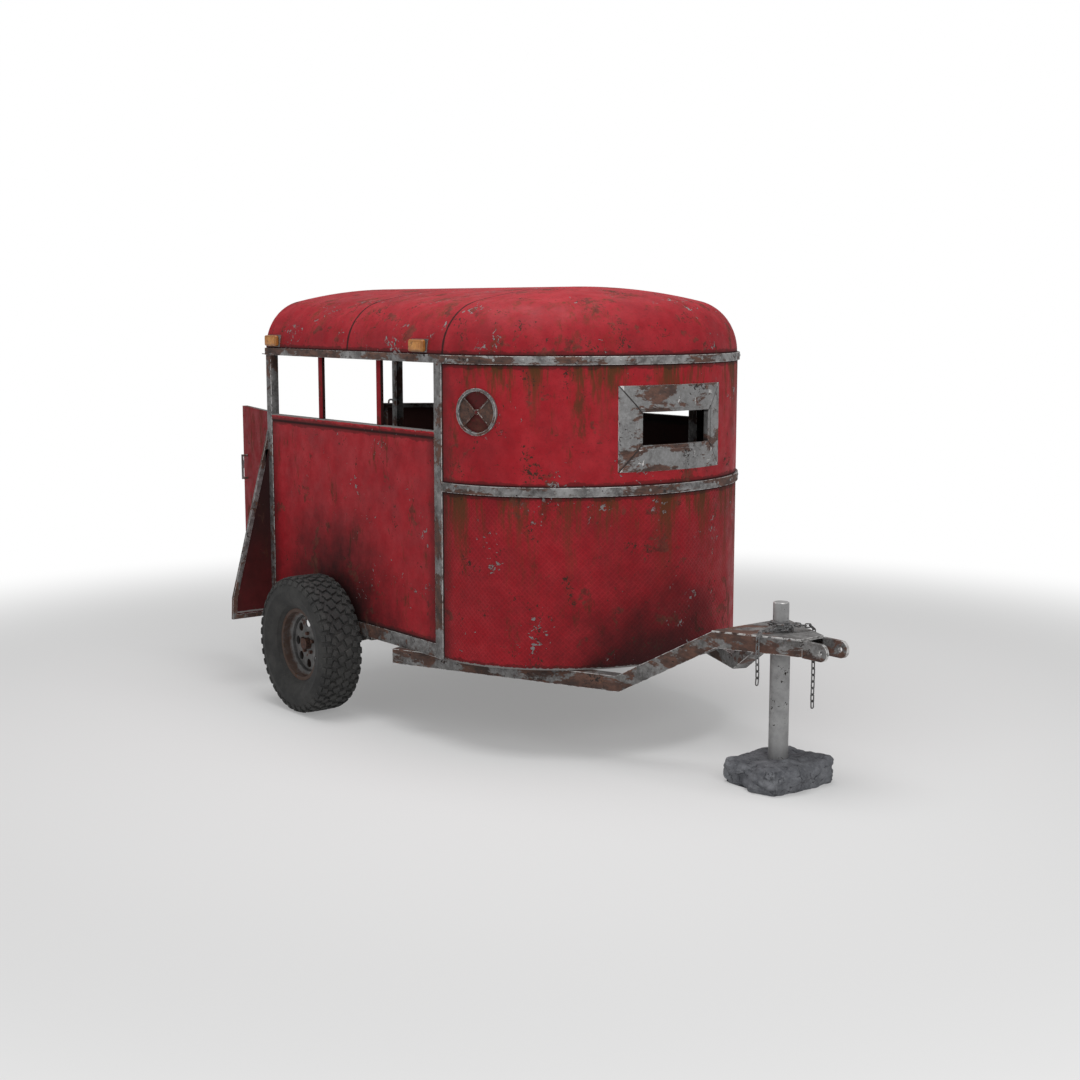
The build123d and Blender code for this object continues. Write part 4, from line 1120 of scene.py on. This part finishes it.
@dataclass
class PropStone:
    """Loose rough stone under the prop, broken from a bevelled block and fitted to its CAD size."""

    node: str = "prop_stone"
    rounds: int = 3
    lumps: float = 0.040
    chips: float = 0.010
    sunk: float = 1.22

    def _roughen(self, piece: bpy.types.Object, kind: str, size: float, strength: float) -> None:
        """Push the surface in and out by a procedural pattern.

        Args:
            piece: The stone.
            kind: The pattern's type.
            size: Its coarseness.
            strength: How far it pushes.
        """
        pattern = bpy.data.textures.new(f"stone_{kind.lower()}", kind)
        pattern.noise_scale = size
        push = piece.modifiers.new("push", "DISPLACE")
        push.texture = pattern
        push.strength = strength
        push.mid_level = 0.5
        bpy.ops.object.modifier_apply(modifier=push.name)

    def build(self, finish: bpy.types.Material) -> bpy.types.Object:
        """Make the stone.

        Args:
            finish: The rock.

        Returns:
            The stone.
        """
        low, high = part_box(self.node)
        centre, size = (low + high) / 2, high - low
        bpy.ops.object.select_all(action="DESELECT")
        bpy.ops.mesh.primitive_cube_add(size=0.4, location=(0, 0, 0), scale=(1.0, 1.0, 0.62))
        piece = Modeller.added("prop_stone_rough")
        Modeller.settle(piece)
        bpy.ops.object.mode_set(mode="EDIT")
        bpy.ops.mesh.select_all(action="SELECT")
        bpy.ops.mesh.bevel(offset=0.055, segments=2, affect="EDGES")
        bpy.ops.mesh.subdivide(number_cuts=3, smoothness=0.0)
        bpy.ops.object.mode_set(mode="OBJECT")
        round_off = piece.modifiers.new("round_off", "SUBSURF")
        round_off.levels = round_off.render_levels = self.rounds
        bpy.ops.object.modifier_apply(modifier=round_off.name)
        self._roughen(piece, "VORONOI", 0.16, -self.lumps)
        self._roughen(piece, "CLOUDS", 0.10, self.lumps)
        self._roughen(piece, "VORONOI", 0.045, -self.chips)
        self._roughen(piece, "CLOUDS", 0.014, self.chips * 0.5)
        points = [vertex.co for vertex in piece.data.vertices]
        spread = [(min(p[axis] for p in points), max(p[axis] for p in points)) for axis in range(3)]
        grow = [size[axis] / (spread[axis][1] - spread[axis][0]) for axis in range(3)]
        grow[2] *= self.sunk
        middle = Vector([(pair[0] + pair[1]) / 2 for pair in spread])
        move = Matrix.Translation(Vector((centre.x, centre.y, high.z - grow[2] * (spread[2][1] - middle.z))))
        piece.data.transform(move @ Matrix.Diagonal((*grow, 1.0)) @ Matrix.Translation(-middle))
        Modeller.only(piece)
        bpy.ops.object.mode_set(mode="EDIT")
        bpy.ops.mesh.select_all(action="SELECT")
        bpy.ops.mesh.bisect(plane_co=(0, 0, low.z + 0.0003), plane_no=(0, 0, 1), clear_inner=True,
                            use_fill=True)
        bpy.ops.object.mode_set(mode="OBJECT")
        piece.data.materials.clear()
        piece.data.materials.append(finish)
        Modeller.smooth(piece, 50.0)
        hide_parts(self.node)
        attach(piece, Body.PROP.value)
        return piece


# ---------------------------------------------------------------- the trailer


class Trailer:
    """The whole trailer: which finish each node takes and which nodes get detailed copies."""

    REFINED = {
        "side_rails": 0.0040, "rear_posts": 0.0050, "front_trims": 0.0050, "sill_caps": 0.0012,
        "window_bars": 0.003, "eave_rails": 0.0050, "nose_mid_band": 0.0045, "nose_eave_band": 0.0045,
        "front_window_frame": 0.0045, "drawbar_members": 0.006, "drawbar_plate": 0.0020,
        "vent_rings": 0.003, "vent_shutter_right": 0.003, "vent_shutter_left": 0.003,
        "clevis_ears": 0.002, "mud_guard_edges": 0.0012, "nose_lower_panel": 0.0,
        "nose_upper_panel": 0.0, "roof_sheets": 0.0, "roof_dome": 0.0, "prop_post": 0.0015,
        "axle_tube": 0.002, "cross_members": 0.0015, "lamp_lenses": 0.010,
    }
    CREASE = {"front_window_frame": 6.0}
    PLAIN_CREASE = 40.0
    STRIP_RISE = 0.113
    STRIP_INSET = 0.095
    TOE = 0.075
    CAP_HEIGHT = 0.036
    LIP_RADIUS = 0.196
    BODY_OF = {"prop_post": Body.PROP, "vent_shutter_right": Body.VENT_RIGHT,
               "vent_shutter_left": Body.VENT_LEFT}

    def __init__(self) -> None:
        """Build the shared effects and read the main places."""
        self.effects = Effects()
        self.band_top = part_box("nose_mid_band")[1].z
        self.band_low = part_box("nose_mid_band")[0].z
        self.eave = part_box("nose_eave_band")[0].z
        self.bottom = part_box("nose_lower_panel")[0].z
        self.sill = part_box("sill_caps")[1].z
        self.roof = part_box("roof_dome")[0].z
        self.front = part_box("roof_dome")[0].x
        self.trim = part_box("side_panels")[1].x
        self.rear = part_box("side_panels")[0].x
        self.seam = (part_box("roof_sheets")[0].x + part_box("roof_sheets")[1].x) / 2
        rim_low, rim_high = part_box("rim_right")
        self.wheel = (rim_low + rim_high) / 2

    def _paints(self) -> dict[str, bpy.types.Material]:
        """The red finishes by node.

        Returns:
            Materials by node name.
        """
        # Hazes round the wheels and the nose's lower front corner: soot and painted shade.
        wheel = Haze((self.wheel.x + 0.05, -0.95, self.wheel.z + 0.04), 0.92, 0.97)
        far_wheel = Haze((self.wheel.x + 0.05, 0.95, self.wheel.z + 0.04), 0.92, 0.97)
        corner = Haze((1.18, -0.10, self.bottom - 0.14), 0.78, 0.90)
        sides = RedPaint(
            "red_side", rust=0.36, chips=0.62, stains=0.9, hazes=(wheel, far_wheel),
            grime_shade_levels=(self.bottom + self.TOE, self.sill - self.CAP_HEIGHT),
            seams=(self.trim, self.rear), streaks=(Streak(self.sill, 1.0, 0.45),)).build(self.effects)
        sills = RedPaint("red_sill", rust=0.4, chips=0.7, rubbed=(self.sill,),
                         grime_shade_levels=(self.sill - self.CAP_HEIGHT,)).build(self.effects)
        lower = RedPaint(
            "red_nose_lower", rust=0.34, chips=0.66, rubbed=(self.bottom,), rub_width=0.022,
            hazes=(corner,), grime_shade_levels=(self.band_low, self.bottom), seams=(self.front,),
            streaks=(Streak(self.band_low, 0.62, 1.0), Streak(self.band_low, 0.25, 1.2)),
            emboss=0.028, emboss_depth=0.8).build(self.effects)
        upper = RedPaint(
            "red_nose_upper", rust=0.34, chips=0.66, grime_shade_levels=(self.band_top, self.eave),
            seams=(self.front,),
            streaks=(Streak(self.eave, 0.50, 1.0), Streak(self.eave, 0.2, 1.1))).build(self.effects)
        # The roof, dome and gable take a darker copy of the red: painted shade that offsets the top light.
        roof = RedPaint(
            "red_roof_shaded", fresh=(0.28, 0.011, 0.018), faded=(0.34, 0.021, 0.029), rust=0.42, chips=0.68,
            grime_shade_levels=(self.roof,), seams=(self.seam, self.front), edge_grime_shade=0.0, stains=0.7,
            streaks=(Streak(2.36, 0.34, 0.75),)).build(self.effects)
        # Darker copy of the red for the doors, straps, cane bolt guides and the bars seen through the
        # windows: painted shade on rear and inside parts.
        dark = RedPaint("red_rear_shaded", fresh=(0.22, 0.012, 0.017), faded=(0.27, 0.018, 0.024), rust=0.38,
                        chips=0.58, grime_shade_levels=(self.bottom + self.TOE,), gloss=0.04).build(self.effects)
        return {"side_panels": sides, "sill_caps": sills, "nose_lower_panel": lower,
                "nose_upper_panel": upper, "roof_sheets": roof, "roof_dome": roof, "rear_gable": roof,
                "window_bars": dark, "door_skin_right": dark, "door_skin_left": dark,
                "door_straps_right": dark, "door_straps_left": dark, "cane_bolt_guides": dark}

    def _others(self) -> dict[str, bpy.types.Material]:
        """The other finishes by node.

        Returns:
            Materials by node name.
        """
        effects = self.effects
        grey = GreySteel("grey_steel").build(effects)
        band = GreySteel("grey_band", rust=0.70, rust_scale=6.0, stretch=(0.6, 0.6, 1.8),
                         bare=(0.30, 0.297, 0.295), dark=0.65).build(effects)
        rivet = GreySteel("grey_rivet", rust=0.35, bare=(0.30, 0.30, 0.295), dull=(0.17, 0.17, 0.165),
                          dark=0.1).build(effects)
        draw = GreySteel("grey_drawbar", rust=0.70, rust_scale=4.4, stretch=(0.7, 0.7, 1.3),
                         bare=(0.22, 0.217, 0.212)).build(effects)
        low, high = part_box("front_window_frame")
        window = GreySteel("grey_window", rust=0.58, rust_scale=6.0, stretch=(0.7, 0.7, 1.5),
                           dark=0.55, bare=(0.25, 0.248, 0.248), dull=(0.17, 0.168, 0.166),
                           mitres=(tuple(low), tuple(high), self.STRIP_RISE, self.STRIP_INSET)
                           ).build(effects)
        prop = GreySteel("grey_prop", rust=0.20, bare=(0.38, 0.38, 0.38), dull=(0.26, 0.26, 0.26),
                         dark=0.25, pits=0.93).build(effects)
        chain = GreySteel("grey_chain", rust=0.35, bare=(0.22, 0.22, 0.225), rust_scale=30.0,
                          metal=0.6).build(effects)
        rusty = RustySteel("rusty_steel_dark", share=1.05).build(effects)
        shutter = GreySteel("rusty_shutter", rust=1.15, rust_scale=9.0, bare=(0.12, 0.10, 0.09)
                            ).build(effects)
        deep = RedPaint("dark_red_vent", fresh=(0.09, 0.018, 0.018), faded=(0.12, 0.024, 0.022), rust=0.7,
                        shaded_inside=False).build(effects)
        # The mud guards' red is near black and hazed at the rear: grime and painted shade behind the wheels.
        guard = RedPaint(
            "grimy_shaded_guard", fresh=(0.050, 0.010, 0.010), faded=(0.075, 0.014, 0.014), rust=0.42,
            chips=0.5, shaded_inside=False,
            hazes=(Haze((self.rear, -1.05, 1.25), 0.60, 0.85), Haze((self.rear, 1.05, 1.25), 0.60, 0.85)),
            rubbed=(self.bottom,)).build(effects)
        rims = RustySteel("grey_rim", trace=(0.185, 0.182, 0.180), share=0.30,
                          ring=(tuple(self.wheel), self.LIP_RADIUS)).build(effects)
        rubber = TyreRubber("torsion_rubber").build(effects)
        nodes = {name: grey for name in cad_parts}
        nodes.update({
            "drawbar_members": draw, "drawbar_plate": draw, "clevis_ears": draw,
            "nose_mid_band": band, "nose_eave_band": band, "eave_rails": band, "band_rivets": rivet,
            "front_window_frame": window, "prop_post": prop, "safety_chain": chain,
            "vent_shutter_right": shutter, "vent_shutter_left": shutter, "vent_plates": deep,
            "mud_guards": guard, "rim_right": rims, "rim_left": rims, "hub_right": rusty,
            "hub_left": rusty, "lug_nuts_right": rusty, "lug_nuts_left": rusty,
            "rubber_cords": rubber, "floor_planks": Planks("floor_boards").build(effects),
            "lamp_lenses": AmberLens("amber_lens").build(effects),
        })
        return nodes

    def build(self) -> None:
        """Dress every node and make the detailed pieces."""
        finishes = {**self._others(), **self._paints()}
        for name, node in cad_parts.items():
            node.data.materials.clear()
            node.data.materials.append(finishes[name])
        for name, edge in self.REFINED.items():
            piece = Modeller.refined(name, edge, self.CREASE.get(name, self.PLAIN_CREASE))
            piece.data.materials.clear()
            piece.data.materials.append(finishes[name])
            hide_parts(name)
            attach(piece, self.BODY_OF.get(name, Body.TRAILER).value)
            LOG.info("refined %s, %d faces", name, len(piece.data.polygons))
        rubber = TyreRubber("tyre_rubber").build(self.effects)
        for name, body, outboard in (("tyre_right", Body.WHEEL_RIGHT, 1.0),
                                     ("tyre_left", Body.WHEEL_LEFT, -1.0)):
            tyre = Tyre(name, body, outboard).build(rubber)
            LOG.info("made %s, %d faces", tyre.name, len(tyre.data.polygons))
        stone = PropStone().build(Rock("blue_grey_rock").build(self.effects))
        LOG.info("made %s, %d faces", stone.name, len(stone.data.polygons))


# ---------------------------------------------------------------- studio


@dataclass
class Studio:
    """Pale floor, white surroundings, soft lights and the camera."""

    floor_size: float = 60.0
    floor_tone: float = 0.80
    fade_start: float = 3.4
    fade_end: float = 6.6
    world_light: float = 0.40
    camera_place: Place = (7.2941, -5.6468, 2.3081)
    camera_turn: tuple[float, float] = (81.811, 52.095)
    lens: float = 54.11

    def _floor(self) -> None:
        """Flat floor that turns white away from the trailer."""
        bpy.ops.object.select_all(action="DESELECT")
        bpy.ops.mesh.primitive_plane_add(size=self.floor_size, location=(0, 0, 0))
        floor = Modeller.added("studio_floor")
        material = bpy.data.materials.new("studio_floor")
        material.use_nodes = True
        material.node_tree.nodes.clear()
        graph = Graph(material.node_tree)
        where = graph.node("ShaderNodeTexCoord").outputs["Object"]
        away = graph.vectors("DISTANCE", where, (0.0, 0.0, 0.0))
        matt = graph.node("ShaderNodeBsdfPrincipled")
        matt.inputs["Base Color"].default_value = (self.floor_tone,) * 3 + (1.0,)
        matt.inputs["Roughness"].default_value = 0.9
        matt.inputs["Specular IOR Level"].default_value = 0.1
        glow = graph.node("ShaderNodeEmission")
        blend = graph.node("ShaderNodeMixShader")
        glow.inputs["Color"].default_value = (1.0, 1.0, 1.0, 1.0)
        graph.feed(glow.inputs["Strength"], graph.step(away, self.fade_start, self.fade_end, 0.68, 1.0))
        graph.feed(blend.inputs[0], graph.step(away, self.fade_start, self.fade_end, 0.38, 1.0))
        graph.feed(blend.inputs[1], matt.outputs["BSDF"])
        graph.feed(blend.inputs[2], glow.outputs["Emission"])
        graph.feed(graph.node("ShaderNodeOutputMaterial").inputs["Surface"], blend.outputs["Shader"])
        floor.data.materials.append(material)

    def _surroundings(self) -> None:
        """White surroundings, dimmer as a light than they look."""
        world = bpy.data.worlds.new("studio")
        world.use_nodes = True
        world.node_tree.nodes.clear()
        graph = Graph(world.node_tree)
        background = graph.node("ShaderNodeBackground")
        seen = graph.node("ShaderNodeLightPath").outputs["Is Camera Ray"]
        strength = graph.node("ShaderNodeMix", data_type="FLOAT")
        for index, value in ((0, seen), (2, self.world_light), (3, 1.0)):
            graph.feed(strength.inputs[index], value)
        background.inputs["Color"].default_value = (1.0, 1.0, 1.0, 1.0)
        graph.feed(background.inputs["Strength"], strength.outputs[0])
        graph.feed(graph.node("ShaderNodeOutputWorld").inputs["Surface"], background.outputs[0])
        bpy.context.scene.world = world

    def _lamp(self, name: str, place: Place, aim: Place, size: float, power: float) -> None:
        """A square soft light.

        Args:
            name: Its name.
            place: Where it stands.
            aim: What it points at.
            size: Its side.
            power: Its power in watts.
        """
        lamp = bpy.data.lights.new(name, "AREA")
        lamp.size = size
        lamp.energy = power
        holder = bpy.data.objects.new(name, lamp)
        holder.location = place
        holder.rotation_euler = (Vector(aim) - Vector(place)).to_track_quat("-Z", "Y").to_euler()
        bpy.context.scene.collection.objects.link(holder)

    def build(self) -> None:
        """Set up the floor, surroundings, lights and camera."""
        self._floor()
        self._surroundings()
        self._lamp("top_light", (0.6, -1.0, 6.5), (0.2, 0.0, 1.0), 4.5, 270.0)
        self._lamp("front_light", (7.5, -2.0, 5.0), (0.8, 0.0, 1.2), 3.5, 120.0)
        camera = bpy.data.cameras.new("camera")
        camera.lens = self.lens
        camera.sensor_width = 36.0
        holder = bpy.data.objects.new("camera", camera)
        holder.location = self.camera_place
        tilt, turn = self.camera_turn
        holder.rotation_euler = (math.radians(tilt), 0.0, math.radians(turn))
        bpy.context.scene.collection.objects.link(holder)
        bpy.context.scene.camera = holder
        bpy.context.scene.view_settings.view_transform = "Standard"


def main() -> None:
    """Build the trailer's looks and the studio."""
    logging.basicConfig(level=logging.INFO)
    Trailer().build()
    Studio().build()


if __name__ == "__main__":
    main()
